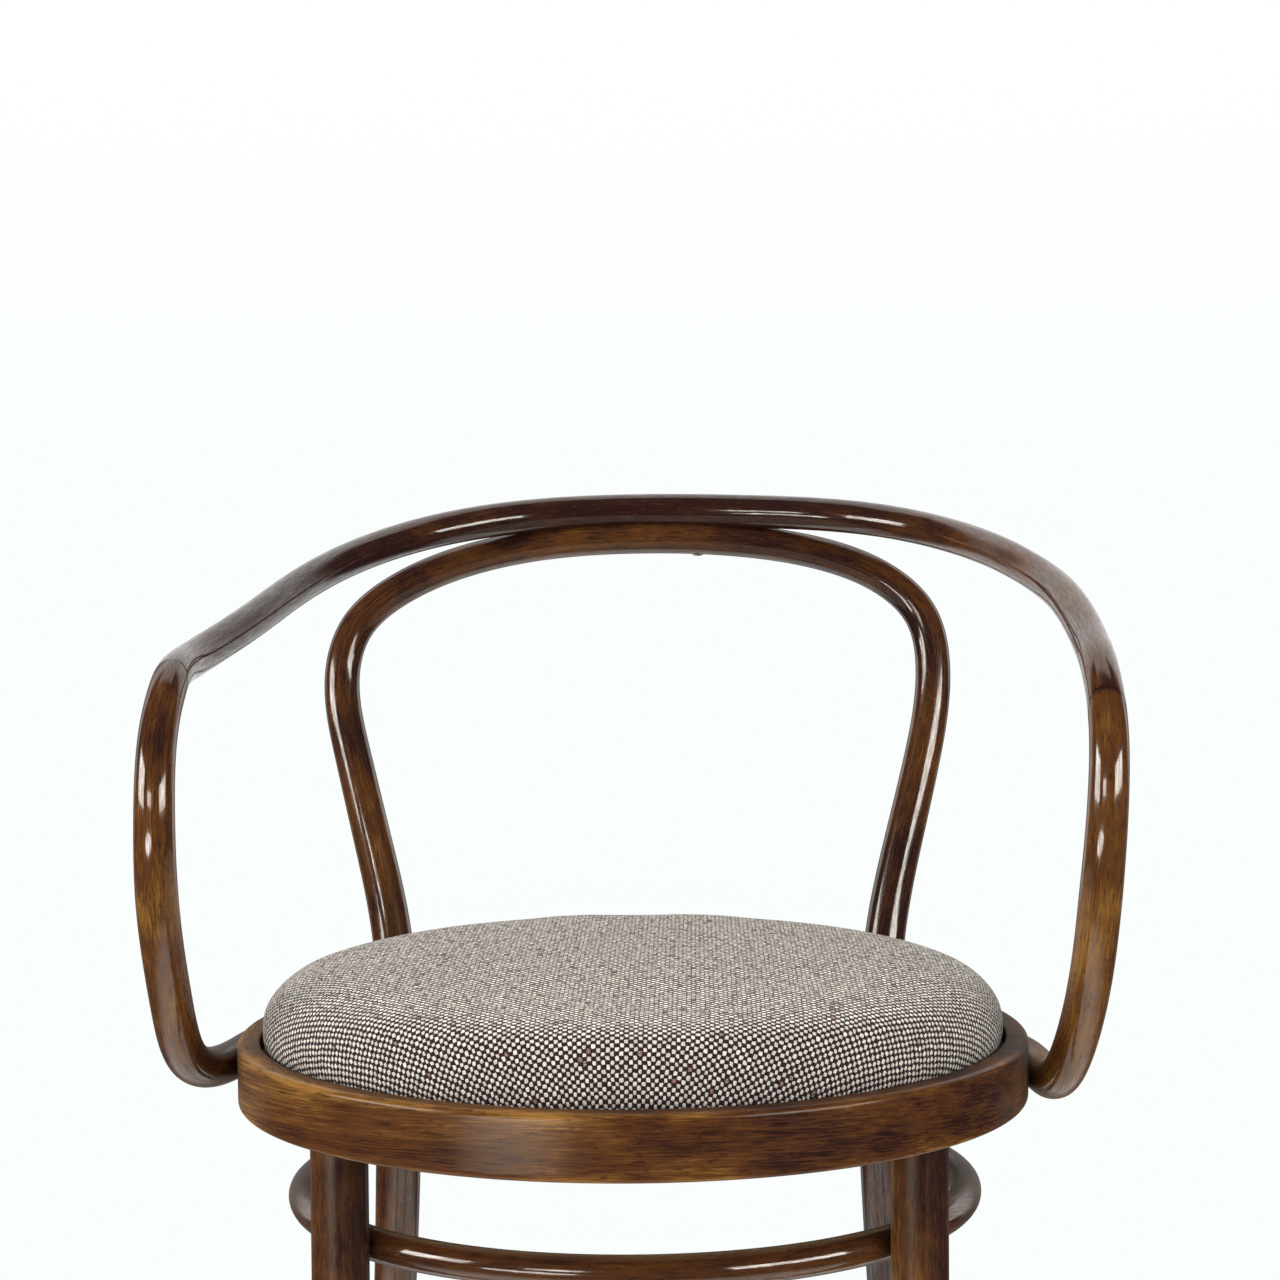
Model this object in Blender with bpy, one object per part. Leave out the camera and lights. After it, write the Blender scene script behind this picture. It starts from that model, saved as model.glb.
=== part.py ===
"""A bentwood armchair: bent beech rods, a round seat ring and a padded seat.

Sizes are in metres. Z is up, the floor is at zero and the sitter faces -Y. Points are worked out
about the seat ring's own axis, and the chair's empty then centres the whole chair on the origin.
"""
import math

import bmesh
import bpy
import numpy as np
from mathutils import Matrix, Vector

SIDES = (("left", -1), ("right", 1))

# Fits
CLEARANCE = 0.0003            # gap left between touching pieces

# Seat ring
SEAT_HEIGHT = 0.450           # top of the seat ring above the floor
SEAT_RING_RADIUS = 0.223
SEAT_RING_HEIGHT = 0.0352
SEAT_RING_WIDTH = 0.043       # from the outer face to the inner face of the lip
SEAT_RIM_WIDTH = 0.0125       # rim outside the rebate
SEAT_REBATE_DEPTH = 0.010
SEAT_RING_ROUNDING = 0.003

# Seat pad
PAD_SIDE_GAP = 0.0018         # between the pad at its widest and the rebate wall
PAD_DRAW_IN = 0.0045          # how far the side is drawn in at the bottom
PAD_WIDEST_ABOVE_RIM = 0.0040
PAD_CROWN_ABOVE_RIM = 0.0440
PAD_SHOULDER = 7.0            # squareness of the pad's outline from the side, across
PAD_DOME = 2.3                # squareness of the pad's outline from the side, upwards
PANEL_THICKNESS = 0.010
COVER_THICKNESS = 0.0016
COVER_TURN_UNDER = 0.028
SEAT_SCREW_INSET = 0.014      # seat screw axis inside the panel's edge

# Leg ring
LEG_RING_INSET = 0.033        # its axis inside the outer radius of the seat ring
LEG_RING_ROD = 0.0184
LEG_RING_HEIGHT = 0.3545
LEG_RING_SETBACK = 0.0255
LEG_BED = 0.001               # how deep the legs bed into the leg ring
NOTCH_MARGIN = 0.030          # how far a notch's cutter runs past the ring

# Front legs
FRONT_LEG_ROD = 0.0308
FRONT_LEG_FOOT = 0.0245
FRONT_LEG_ANGLE = math.radians(51.48)   # from the seat's front round to each socket
FRONT_LEG_INSET = 0.0268      # socket axis inside the outer radius of the seat ring
FRONT_LEG_FULL_DROP = 0.090   # full thickness down to here below the seat ring
TENON_ROD = 0.020
TENON_LENGTH = 0.018

# Back hoop with the rear legs
HOOP_TOP_HEIGHT = 0.7225
HOOP_SHOULDER_INSET = 0.0355  # shoulders inside the outer radius of the seat ring
HOOP_SHOULDER_DROP = 0.082
HOOP_SQUARENESS = {"left": 2.10, "right": 2.54}
HOOP_WAIST_INSET = 0.0725     # the same where it passes the seat ring
HOOP_LEAN = math.radians(11.8)
HOOP_BED = 0.0079             # how deep the hoop beds into the seat ring
HOOP_TOP_ROD = 0.0204
HOOP_SHOULDER_ROD = 0.0220
HOOP_SEAT_ROD = 0.0260
REAR_LEG_ROD = 0.0284
REAR_LEG_FOOT = 0.0235
REAR_LEG_SPLAY = 0.0008       # how much wider than the waist at the leg ring
REAR_FOOT_INSET = 0.047       # the same at the rear feet
REAR_FOOT_SETBACK = 0.262

# Arm hoop and arm uprights
ARM_GROOVE = 0.0037           # how deep the arm hoop beds on the top of the back hoop
BACK_BEHIND_HOOP = 0.001      # axis of the arm hoop behind that of the back hoop
ARM_SLOPE = 0.27              # fall of the arms for each metre forward
ARM_FORWARD = 0.090           # front of the arms ahead of the seat's centre
ARM_BEND_RISE = 0.0035        # lifts the front bend above the arms' slope
ARM_OUTREACH_LEFT = 0.0275    # how far the arm stands outside the seat ring
ARM_OUTREACH_RIGHT = 0.0325
BACK_ROD = 0.0214
ARM_ROD = 0.0205
UPRIGHT_ROD = 0.0232
ARM_END_ROD = 0.0218
ARM_END_BED = 0.003           # how deep the arm ends are hollowed to the seat ring
ARM_END_DROP_LEFT = 0.0029    # how far an arm end lies below the middle of the seat ring
ARM_END_DROP_RIGHT = 0.0079
ARM_END_ANGLES = (7.0, 13.0, 20.0)

# Stations along each arm: share of the half width, then the way from front to back and the lift
# above the slope, both as shares of the arm's reach
ARM_ROUTE = {
    "left": ((0.26, 0.976, -0.0009), (0.51, 0.889, -0.0056), (0.67, 0.764, -0.0099),
             (0.79, 0.592, -0.0142), (0.88, 0.402, -0.0207), (0.94, 0.279, -0.0226),
             (0.978, 0.178, -0.0173)),
    "right": ((0.26, 0.986, 0.0019), (0.51, 0.931, 0.0068), (0.67, 0.846, 0.0121),
              (0.79, 0.724, 0.0198), (0.88, 0.583, 0.0266), (0.94, 0.471, 0.0248),
              (0.978, 0.337, 0.022), (0.9975, 0.17, 0.0093)),
}

# Stations down each upright: share of the half width, share of the arm's reach behind its front,
# share of the height from the seat ring up to the bend
UPRIGHT_ROUTE = {
    "left": ((0.9895, 0.0495, 0.99), (0.998, -0.0248, 0.886), (1.0008, -0.065, 0.685),
             (1.002, -0.0464, 0.477), (0.994, 0.0372, 0.212), (0.982, 0.1362, 0.050)),
    "right": ((0.998, 0.0495, 1.004), (1.0, -0.0217, 0.915), (0.9937, -0.065, 0.695),
              (0.9812, -0.0464, 0.466), (0.9648, 0.0372, 0.1995), (0.930, 0.165, -0.012)),
}

# Scarf joints at the front bends
SCARF_LENGTH = 0.052
SCARF_TIP_DROP = 0.008        # upper tip below the height of the bend
SCARF_TIP = 0.0009            # thickness of the blunt tips
SCARF_END_GAP = 0.0011

# Fasteners
ARM_SCREW_ANGLES = (9.5, 16.5)
WOOD_SCREW = {"shank": 0.004, "head": 0.0082, "head_height": 0.0028, "dome": 0.0, "cone": True}
ROUND_SCREW = {"shank": 0.004, "head": 0.0078, "head_height": 0.0006, "dome": 0.0018, "cone": False}
ARM_SCREW_BITE = 0.016        # how far a screw goes into the second piece
HOOP_SCREW_BITE = 0.008
HOOP_SCREW_SPACING = 0.078
BRACE_SCREW_BITE = 0.012
SEAT_SCREW_BITE = 0.006
SCREW_SINK = 0.0006           # how far a flat screw head lies below the wood
BOLT = {"shank": 0.006, "head": 0.016, "head_height": 0.002, "dome": 0.0022, "cone": False}
BOLT_SINK = 0.004             # spot face for the bolt head in the rear leg
BOLT_BELOW_REBATE = 0.012
BOLT_PROUD = 0.002            # thread showing past the nut
WASHER_DIAMETER = 0.016
WASHER_THICKNESS = 0.0012
NUT_ACROSS_CORNERS = 0.0115
NUT_HEIGHT = 0.005

# Foot glides
GLIDE_DIAMETER = 0.020
GLIDE_HEIGHT = 0.005
GLIDE_NAIL = 0.0026
GLIDE_NAIL_LENGTH = 0.014

# Facets
ROD_SIDES = 12
FRONT_LEG_SIDES = 18
RING_SEGMENTS = 72
PAD_SEGMENTS = 44
PAD_STEPS = 9
SCREW_SEGMENTS = 12
ROD_STEP_SHARE = 0.6075       # step along a rod as a share of its thickness

# Finishes: base colour, roughness, metallic
FINISHES = {
    "stained_beech": ((0.105, 0.045, 0.016), 0.22, 0.0),
    "tweed": ((0.300, 0.245, 0.205), 0.95, 0.0),
    "foam": ((0.780, 0.690, 0.470), 0.95, 0.0),
    "plywood": ((0.520, 0.360, 0.200), 0.60, 0.0),
    "steel": ((0.420, 0.400, 0.370), 0.35, 1.0),
    "glide_plastic": ((0.030, 0.024, 0.020), 0.50, 0.0),
}

ROD_STEP = ROD_STEP_SHARE * BACK_ROD
BACK_HEIGHT = HOOP_TOP_HEIGHT + (HOOP_TOP_ROD + BACK_ROD) / 2 - ARM_GROOVE
SEAT_BOTTOM = SEAT_HEIGHT - SEAT_RING_HEIGHT
SEAT_MIDDLE = SEAT_HEIGHT - SEAT_RING_HEIGHT / 2
LIP_TOP = SEAT_HEIGHT - SEAT_REBATE_DEPTH
LIP_RADIUS = SEAT_RING_RADIUS - SEAT_RING_WIDTH
REBATE_RADIUS = SEAT_RING_RADIUS - SEAT_RIM_WIDTH
LEG_RING_RADIUS = SEAT_RING_RADIUS - LEG_RING_INSET
HOOP_HALF_WIDTH = SEAT_RING_RADIUS - HOOP_SHOULDER_INSET
HOOP_WAIST = SEAT_RING_RADIUS - HOOP_WAIST_INSET
REAR_FOOT_HALF_SPREAD = SEAT_RING_RADIUS - REAR_FOOT_INSET
ARM_FRONT = -ARM_FORWARD
FRONT_LEG_SEAT_RADIUS = SEAT_RING_RADIUS - FRONT_LEG_INSET
ARM_OUTREACH = {"left": ARM_OUTREACH_LEFT, "right": ARM_OUTREACH_RIGHT}
ARM_END_HEIGHT = {"left": SEAT_MIDDLE - ARM_END_DROP_LEFT, "right": SEAT_MIDDLE - ARM_END_DROP_RIGHT}
PAD_RADIUS = REBATE_RADIUS - PAD_SIDE_GAP
PAD_BOTTOM = LIP_TOP + CLEARANCE
PANEL_RADIUS = PAD_RADIUS - PAD_DRAW_IN - COVER_THICKNESS - CLEARANCE
PANEL_BOTTOM = PAD_BOTTOM + COVER_THICKNESS + CLEARANCE
PANEL_TOP = PANEL_BOTTOM + PANEL_THICKNESS


def clear_scene():
    """Remove every object that the scene starts with."""
    for item in list(bpy.data.objects):
        bpy.data.objects.remove(item, do_unlink=True)


def finish(name):
    """Return the named finish as a material, made once."""
    if name in bpy.data.materials:
        return bpy.data.materials[name]
    colour, roughness, metallic = FINISHES[name]
    made = bpy.data.materials.new(name)
    made.use_nodes = True
    shader = made.node_tree.nodes["Principled BSDF"]
    shader.inputs["Base Color"].default_value = (*colour, 1.0)
    shader.inputs["Roughness"].default_value = roughness
    shader.inputs["Metallic"].default_value = metallic
    made.diffuse_color = (*colour, 1.0)
    return made


def place(name, mesh):
    """Add a mesh to the scene as a child of the chair's empty."""
    item = bpy.data.objects.new(name, mesh)
    bpy.context.scene.collection.objects.link(item)
    item.parent = bpy.data.objects["chair"]
    return item


def piece(name, mesh, finish_name):
    """Add one physical piece with its finish, shaded smooth over its round faces."""
    mesh.materials.clear()
    mesh.materials.append(finish(finish_name))
    mesh.shade_smooth()
    mesh.set_sharp_from_angle(angle=math.radians(40))
    return place(name, mesh)


def cutter(name, mesh):
    """Add a cutting shape, which is not a piece of the chair."""
    item = place(name, mesh)
    item.hide_render = True
    item.display_type = "WIRE"
    return item


def cut(target, tool):
    """Take the tool's volume out of the target."""
    step = target.modifiers.new(tool.name, "BOOLEAN")
    step.operation = "DIFFERENCE"
    step.solver = "EXACT"
    step.object = tool


def mesh_of(bm):
    """Close a bmesh, turn its faces outwards and return it as a mesh."""
    bmesh.ops.remove_doubles(bm, verts=bm.verts, dist=1e-6)
    bmesh.ops.recalc_face_normals(bm, faces=bm.faces)
    mesh = bpy.data.meshes.new("shape")
    bm.to_mesh(mesh)
    bm.free()
    return mesh


def turned(profile, segments, ring=False):
    """Spin a profile of (radius, height) about Z; a ring's profile closes on itself."""
    bm = bmesh.new()
    verts = [bm.verts.new((radius, 0.0, height)) for radius, height in profile]
    pairs = list(zip(verts, verts[1:]))
    if ring:
        pairs.append((verts[-1], verts[0]))
    edges = [bm.edges.new(pair) for pair in pairs]
    bmesh.ops.spin(
        bm, geom=verts + edges, cent=(0, 0, 0), axis=(0, 0, 1),
        angle=math.tau, steps=segments, use_duplicate=False)
    return mesh_of(bm)


def stacked(stations, sides):
    """Loft level circles, each given as a centre and a radius, and cap both ends."""
    bm = bmesh.new()
    loops = []
    for centre, radius in stations:
        place_at = Matrix.Translation(centre)
        made = bmesh.ops.create_circle(bm, segments=sides, radius=radius, matrix=place_at)
        loops.append(made["verts"])
    for lower, upper in zip(loops, loops[1:]):
        for here in range(sides):
            there = (here + 1) % sides
            bm.faces.new((lower[here], lower[there], upper[there], upper[here]))
    bm.faces.new(loops[0])
    bm.faces.new(loops[-1])
    return mesh_of(bm)


def rod(points, radii, closed=False):
    """Sweep a round section along points with a bevelled curve and return its mesh."""
    curve = bpy.data.curves.new("rod", "CURVE")
    curve.dimensions = "3D"
    curve.fill_mode = "FULL"
    curve.bevel_depth = 1.0
    curve.bevel_resolution = ROD_SIDES // 2 - 2
    curve.use_fill_caps = not closed
    line = curve.splines.new("POLY")
    line.points.add(len(points) - 1)
    line.points.foreach_set("co", np.c_[points, np.ones(len(points))].ravel())
    line.points.foreach_set("radius", np.asarray(radii, dtype=float))
    line.use_cyclic_u = closed
    carrier = bpy.data.objects.new("rod", curve)
    bpy.context.scene.collection.objects.link(carrier)
    swept = carrier.evaluated_get(bpy.context.evaluated_depsgraph_get())
    bm = bmesh.new()
    bm.from_mesh(swept.to_mesh())
    swept.to_mesh_clear()
    bpy.data.objects.remove(carrier, do_unlink=True)
    return mesh_of(bm)


def clear_of(radii):
    """Radii of a faceted cutter whose flats stay clear of a rod with these radii."""
    return (np.asarray(radii) + CLEARANCE) / math.cos(math.pi / ROD_SIDES)


def smooth_path(points, step):
    """Natural cubic spline through the points, read at equal steps of length."""
    fixed = np.array(points, dtype=float)
    chord = np.linalg.norm(np.diff(fixed, axis=0), axis=1)
    knots = np.concatenate([[0.0], np.cumsum(chord)])
    count = len(fixed)
    system = np.eye(count)
    right = np.zeros((count, 3))
    slopes = np.diff(fixed, axis=0) / chord[:, None]
    for row in range(1, count - 1):
        before, after = chord[row - 1], chord[row]
        system[row, row - 1:row + 2] = before, 2 * (before + after), after
        right[row] = 6 * (slopes[row] - slopes[row - 1])
    bends = np.linalg.solve(system, right)
    at = np.linspace(0.0, knots[-1], 4000)
    span = np.clip(np.searchsorted(knots, at, side="right") - 1, 0, count - 2)
    width = chord[span][:, None]
    low = (knots[span + 1] - at)[:, None] / width
    high = 1.0 - low
    fine = low * fixed[span] + high * fixed[span + 1]
    fine += ((low**3 - low) * bends[span] + (high**3 - high) * bends[span + 1]) * width**2 / 6
    run = np.linalg.norm(np.diff(fine, axis=0), axis=1)
    length = np.concatenate([[0.0], np.cumsum(run)])
    stops = np.linspace(0.0, length[-1], int(round(length[-1] / step)) + 1)
    return np.stack([np.interp(stops, length, fine[:, axis]) for axis in range(3)], axis=1)


def hoop_seat_setback():
    """How far behind the seat's centre the back hoop passes the seat ring."""
    reach = SEAT_RING_RADIUS - HOOP_BED + HOOP_SEAT_ROD / 2
    return math.sqrt(reach**2 - HOOP_WAIST**2)


def hoop_setback(height):
    """How far back the leaning plane of the back hoop lies at a height."""
    return hoop_seat_setback() + math.tan(HOOP_LEAN) * (height - SEAT_MIDDLE)


def beside_leg_ring(half_spread, diameter):
    """Distance along Y from the leg ring's centre to a leg that beds against its outside."""
    reach = LEG_RING_RADIUS + LEG_RING_ROD / 2 + diameter / 2 - LEG_BED
    return math.sqrt(reach**2 - half_spread**2)


def hoop_side(side, sign):
    """Stations of one half of the back hoop, from the foot up to the arch."""
    ring_half = HOOP_WAIST + REAR_LEG_SPLAY
    ring_setback = LEG_RING_SETBACK + beside_leg_ring(ring_half, REAR_LEG_ROD)
    shoulder = HOOP_TOP_HEIGHT - HOOP_SHOULDER_DROP
    stations = [
        (REAR_FOOT_HALF_SPREAD, REAR_FOOT_SETBACK, 0.0),
        (0.42 * REAR_FOOT_HALF_SPREAD + 0.58 * ring_half,
         0.40 * REAR_FOOT_SETBACK + 0.60 * ring_setback, LEG_RING_HEIGHT / 2),
        (ring_half, ring_setback, LEG_RING_HEIGHT),
        (HOOP_WAIST, hoop_seat_setback(), SEAT_MIDDLE),
    ]
    for up, out in ((0.25, 0.155), (0.5, 0.475), (0.75, 0.82)):
        height = SEAT_MIDDLE + (shoulder - SEAT_MIDDLE) * up
        half = HOOP_WAIST + (HOOP_HALF_WIDTH - HOOP_WAIST) * out
        stations.append((half, hoop_setback(height), height))
    power = 2 / HOOP_SQUARENESS[side]
    for angle in (90, 72, 54, 36, 18):
        turn = math.radians(angle)
        half = HOOP_HALF_WIDTH * math.sin(turn)**power
        height = shoulder + HOOP_SHOULDER_DROP * max(math.cos(turn), 0.0)**power
        stations.append((half, hoop_setback(height), height))
    return [(sign * x, y, z) for x, y, z in stations]


def hoop_path():
    """Axis of the back hoop from the left foot over the arch to the right foot."""
    left = hoop_side("left", -1)
    right = hoop_side("right", 1)[::-1]
    top = (0.0, hoop_setback(HOOP_TOP_HEIGHT), HOOP_TOP_HEIGHT)
    return smooth_path([*left, top, *right], ROD_STEP)


def hoop_radii(points):
    """Radius of the back hoop: thickest at the leg ring, thinner to the foot and to the arch."""
    heights = (0.0, LEG_RING_HEIGHT, SEAT_MIDDLE, HOOP_TOP_HEIGHT - HOOP_SHOULDER_DROP, HOOP_TOP_HEIGHT)
    rods = (REAR_LEG_FOOT, REAR_LEG_ROD, HOOP_SEAT_ROD, HOOP_SHOULDER_ROD, HOOP_TOP_ROD)
    return np.interp(points[:, 2], heights, rods) / 2


def back_setback():
    """How far back the axis of the arm hoop lies at the middle of the back."""
    return hoop_setback(HOOP_TOP_HEIGHT) + BACK_BEHIND_HOOP


def arm_height(setback):
    """Height of the arms' sloping plane."""
    return BACK_HEIGHT - ARM_SLOPE * (back_setback() - setback)


def arm_end_reach():
    """Distance of the arm end's axis from the seat's centre."""
    return SEAT_RING_RADIUS + ARM_END_ROD / 2 - ARM_END_BED


def arm_side(side, sign):
    """Stations of one arm, from behind the back's middle to the end on the seat ring."""
    half = SEAT_RING_RADIUS + ARM_OUTREACH[side]
    reach = back_setback() - ARM_FRONT
    bend = arm_height(ARM_FRONT) + ARM_BEND_RISE
    stations = []
    for across, back, lift in ARM_ROUTE[side]:
        setback = ARM_FRONT + reach * back
        stations.append((sign * half * across, setback, arm_height(setback) + reach * lift))
    for across, behind, up in UPRIGHT_ROUTE[side]:
        height = SEAT_MIDDLE + (bend - SEAT_MIDDLE) * up
        stations.append((sign * half * across, ARM_FRONT + reach * behind, height))
    end = arm_end_reach()
    for angle in ARM_END_ANGLES:
        turn = math.radians(angle)
        stations.append((sign * end * math.cos(turn), end * math.sin(turn), ARM_END_HEIGHT[side]))
    return stations


def arm_path():
    """Axis of the whole outer hoop from the left arm end round the back to the right arm end."""
    left = arm_side("left", -1)[::-1]
    right = arm_side("right", 1)
    return smooth_path([*left, (0.0, back_setback(), BACK_HEIGHT), *right], ROD_STEP)


def arm_radii(points):
    """Radius of the outer hoop along its length, alike on both sides of the back's middle."""
    run = np.linalg.norm(np.diff(points, axis=0), axis=1)
    length = np.concatenate([[0.0], np.cumsum(run)])
    middle = length[np.argmax(points[:, 2])]
    share = np.abs(length - middle) / np.where(length < middle, middle, length[-1] - middle)
    return np.interp(share, (0.0, 0.35, 0.56, 0.70, 0.86, 1.0),
                     (BACK_ROD, ARM_ROD, ARM_ROD, UPRIGHT_ROD, UPRIGHT_ROD, ARM_END_ROD)) / 2


def between(points, low, high):
    """Mask of the path's points whose height lies in a band."""
    return (points[:, 2] > low) & (points[:, 2] < high)


def seat_ring():
    """Round seat frame with an inner lip, a rebate for the pad and rounded outer edges."""
    soft = SEAT_RING_ROUNDING
    outer = SEAT_RING_RADIUS
    profile = [
        (LIP_RADIUS, SEAT_BOTTOM + soft / 2), (LIP_RADIUS + soft / 2, SEAT_BOTTOM),
        (outer - soft, SEAT_BOTTOM), (outer - 0.3 * soft, SEAT_BOTTOM + 0.3 * soft),
        (outer, SEAT_BOTTOM + soft), (outer, SEAT_HEIGHT - soft),
        (outer - 0.3 * soft, SEAT_HEIGHT - 0.3 * soft), (outer - soft, SEAT_HEIGHT),
        (REBATE_RADIUS + soft / 3, SEAT_HEIGHT), (REBATE_RADIUS, SEAT_HEIGHT - soft / 3),
        (REBATE_RADIUS, LIP_TOP), (LIP_RADIUS, LIP_TOP),
    ]
    return piece("seat_ring", turned(profile, RING_SEGMENTS, ring=True), "stained_beech")


def disc(radius, low, high):
    """Profile of a plain disc between two heights."""
    return [(0.0, low), (radius, low), (radius, high), (0.0, high)]


def pad_outline(inset, low):
    """Outer side of the pad from a low height up to the crown, set in by a distance."""
    widest = SEAT_HEIGHT + PAD_WIDEST_ABOVE_RIM
    rise = PAD_CROWN_ABOVE_RIM - PAD_WIDEST_ABOVE_RIM - inset
    outline = []
    for share in (0.0, 0.3, 0.65):
        drawn = PAD_DRAW_IN * (1 - share)**2
        outline.append((PAD_RADIUS - inset - drawn, low + (widest - low) * share))
    for step in range(PAD_STEPS):
        turn = math.pi / 2 * step / PAD_STEPS
        radius = (PAD_RADIUS - inset) * math.cos(turn)**(2 / PAD_SHOULDER)
        outline.append((radius, widest + rise * math.sin(turn)**(2 / PAD_DOME)))
    outline.append((0.0, widest + rise))
    return outline


def seat_pad():
    """Cover with its edge turned under, foam crown and plywood panel, one inside the other."""
    outside = pad_outline(0.0, PAD_BOTTOM)
    inside = pad_outline(COVER_THICKNESS, PAD_BOTTOM + COVER_THICKNESS)
    hem = PAD_RADIUS - PAD_DRAW_IN - COVER_TURN_UNDER
    fold = [(hem, PAD_BOTTOM + COVER_THICKNESS), (hem, PAD_BOTTOM)]
    cover = piece("seat_cover", turned([*inside[::-1], *fold, *outside], PAD_SEGMENTS), "tweed")
    foam_bottom = PANEL_TOP + CLEARANCE
    foam_outline = pad_outline(COVER_THICKNESS + CLEARANCE, foam_bottom)
    piece("seat_foam", turned([(0.0, foam_bottom), *foam_outline], PAD_SEGMENTS), "foam")
    board = disc(PANEL_RADIUS, PANEL_BOTTOM, PANEL_TOP)
    panel = piece("seat_panel", turned(board, PAD_SEGMENTS), "plywood")
    return cover, panel


def box(frame, low, high):
    """A box between two corners of a frame of axes."""
    bm = bmesh.new()
    size = Vector(high) - Vector(low)
    centre = (Vector(high) + Vector(low)) / 2
    shape = Matrix.Translation(centre) @ Matrix.Diagonal((*size, 1.0))
    bmesh.ops.create_cube(bm, size=1.0, matrix=frame @ shape)
    return mesh_of(bm)


def back_hoop(points):
    """Rear legs and inner back in one bent rod, cut level above the glides."""
    hoop = piece("back_hoop", rod(points, hoop_radii(points)), "stained_beech")
    reach = 2 * (REAR_FOOT_HALF_SPREAD + REAR_FOOT_SETBACK)
    floor = box(Matrix.Identity(4), (-reach, -reach, -reach), (reach, reach, GLIDE_HEIGHT + CLEARANCE))
    cut(hoop, cutter("floor_line", floor))
    return hoop


def scarf_frame(sign, points, radii, low, tip):
    """Axes of a scarf plane from the rear of the upright to the front of the bend, and its length."""
    heart = Vector((sign * SEAT_RING_RADIUS, 0.0, (SEAT_HEIGHT + BACK_HEIGHT) / 2))
    corners = []
    for station, way in ((low, -1), (tip, 1)):
        here = Vector(points[station])
        along = Vector(points[station + 1] - points[station - 1]).normalized()
        out = here - heart
        out.x = 0.0
        out = (out - along * out.dot(along)).normalized()
        corners.append(here + out * way * (radii[station] - SCARF_TIP))
    up = (corners[1] - corners[0]).normalized()
    across = (Vector((1, 0, 0)) - up * up.x).normalized()
    front = across.cross(up)
    if front.y > 0:
        across = -across
        front = -front
    frame = Matrix((across, front, up)).transposed().to_4x4()
    frame.translation = corners[0]
    return frame, (corners[1] - corners[0]).length


def outer_hoop(points):
    """Arm hoop and two uprights, parted by a long blunt scarf at each front bend."""
    radii = arm_radii(points)
    middle = int(np.argmax(points[:, 2]))
    tip_height = arm_height(ARM_FRONT) + ARM_BEND_RISE - SCARF_TIP_DROP
    uprights = {}
    ends = []
    tools = []
    for side, sign in SIDES:
        order = np.arange(middle + 1) if sign < 0 else np.arange(len(points) - 1, middle - 1, -1)
        climb = points[order]
        size = radii[order]
        tip = int(np.argmax(climb[:, 2] > tip_height))
        low = tip - int(round(SCARF_LENGTH / ROD_STEP))
        frame, length = scarf_frame(sign, climb, size, low, tip)
        wide = 2 * UPRIGHT_ROD
        half_gap = CLEARANCE / 2
        front = box(frame, (-wide, -half_gap, -wide), (wide, wide, length + SCARF_END_GAP))
        rear = box(frame, (-wide, -wide, -SCARF_END_GAP), (wide, half_gap, length + wide))
        upright = piece(f"arm_upright_{side}", rod(climb[:tip + 1], size[:tip + 1]), "stained_beech")
        cut(upright, cutter(f"scarf_rear_{side}", rear))
        tools.append(cutter(f"scarf_front_{side}", front))
        ends.append(order[low])
        uprights[side] = upright
    span = slice(min(ends), max(ends) + 1)
    hoop = piece("arm_hoop", rod(points[span], radii[span]), "stained_beech")
    for tool in tools:
        cut(hoop, tool)
    return hoop, uprights


def seat_saddle(uprights):
    """Hollow the arm ends to the outer face of the seat ring."""
    radius = SEAT_RING_RADIUS + CLEARANCE
    low = SEAT_BOTTOM - SEAT_RING_HEIGHT
    high = SEAT_HEIGHT + SEAT_RING_HEIGHT
    tool = cutter("arm_saddle", turned(disc(radius, low, high), RING_SEGMENTS))
    for upright in uprights.values():
        cut(upright, tool)


def front_leg_axis(sign, height):
    """Point on a front leg's axis, which runs through its seat socket and past the leg ring."""
    half = FRONT_LEG_SEAT_RADIUS * math.sin(FRONT_LEG_ANGLE)
    seat = -FRONT_LEG_SEAT_RADIUS * math.cos(FRONT_LEG_ANGLE)
    ring = LEG_RING_SETBACK - beside_leg_ring(half, FRONT_LEG_ROD)
    lean = (ring - seat) / (LEG_RING_HEIGHT - SEAT_BOTTOM)
    return Vector((sign * half, seat + lean * (height - SEAT_BOTTOM), height))


def front_leg(side, sign, ring):
    """Straight leg that tapers to the foot, with a round tenon up into the seat ring."""
    foot = GLIDE_HEIGHT + CLEARANCE
    top = SEAT_BOTTOM - CLEARANCE
    full = SEAT_BOTTOM - FRONT_LEG_FULL_DROP
    tenon = SEAT_BOTTOM + TENON_LENGTH
    taper = (
        (foot, FRONT_LEG_FOOT), (full, FRONT_LEG_ROD), (top, FRONT_LEG_ROD),
        (top, TENON_ROD), (tenon, TENON_ROD),
    )
    stations = [(front_leg_axis(sign, height), size / 2) for height, size in taper]
    leg = piece(f"front_leg_{side}", stacked(stations, FRONT_LEG_SIDES), "stained_beech")
    socket = (top - SEAT_RING_ROUNDING, tenon + CLEARANCE)
    widths = [(front_leg_axis(sign, height), TENON_ROD / 2 + CLEARANCE) for height in socket]
    cut(ring, cutter(f"leg_socket_{side}", stacked(widths, FRONT_LEG_SIDES)))
    return leg


def leg_ring():
    """Brace ring of round rod inside the four legs."""
    turn = np.linspace(0.0, math.tau, RING_SEGMENTS, endpoint=False)
    path = np.stack([LEG_RING_RADIUS * np.cos(turn), LEG_RING_SETBACK + LEG_RING_RADIUS * np.sin(turn),
                     np.full_like(turn, LEG_RING_HEIGHT)], axis=1)
    mesh = rod(path, np.full(RING_SEGMENTS, LEG_RING_ROD / 2), closed=True)
    return piece("leg_ring", mesh, "stained_beech")


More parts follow.
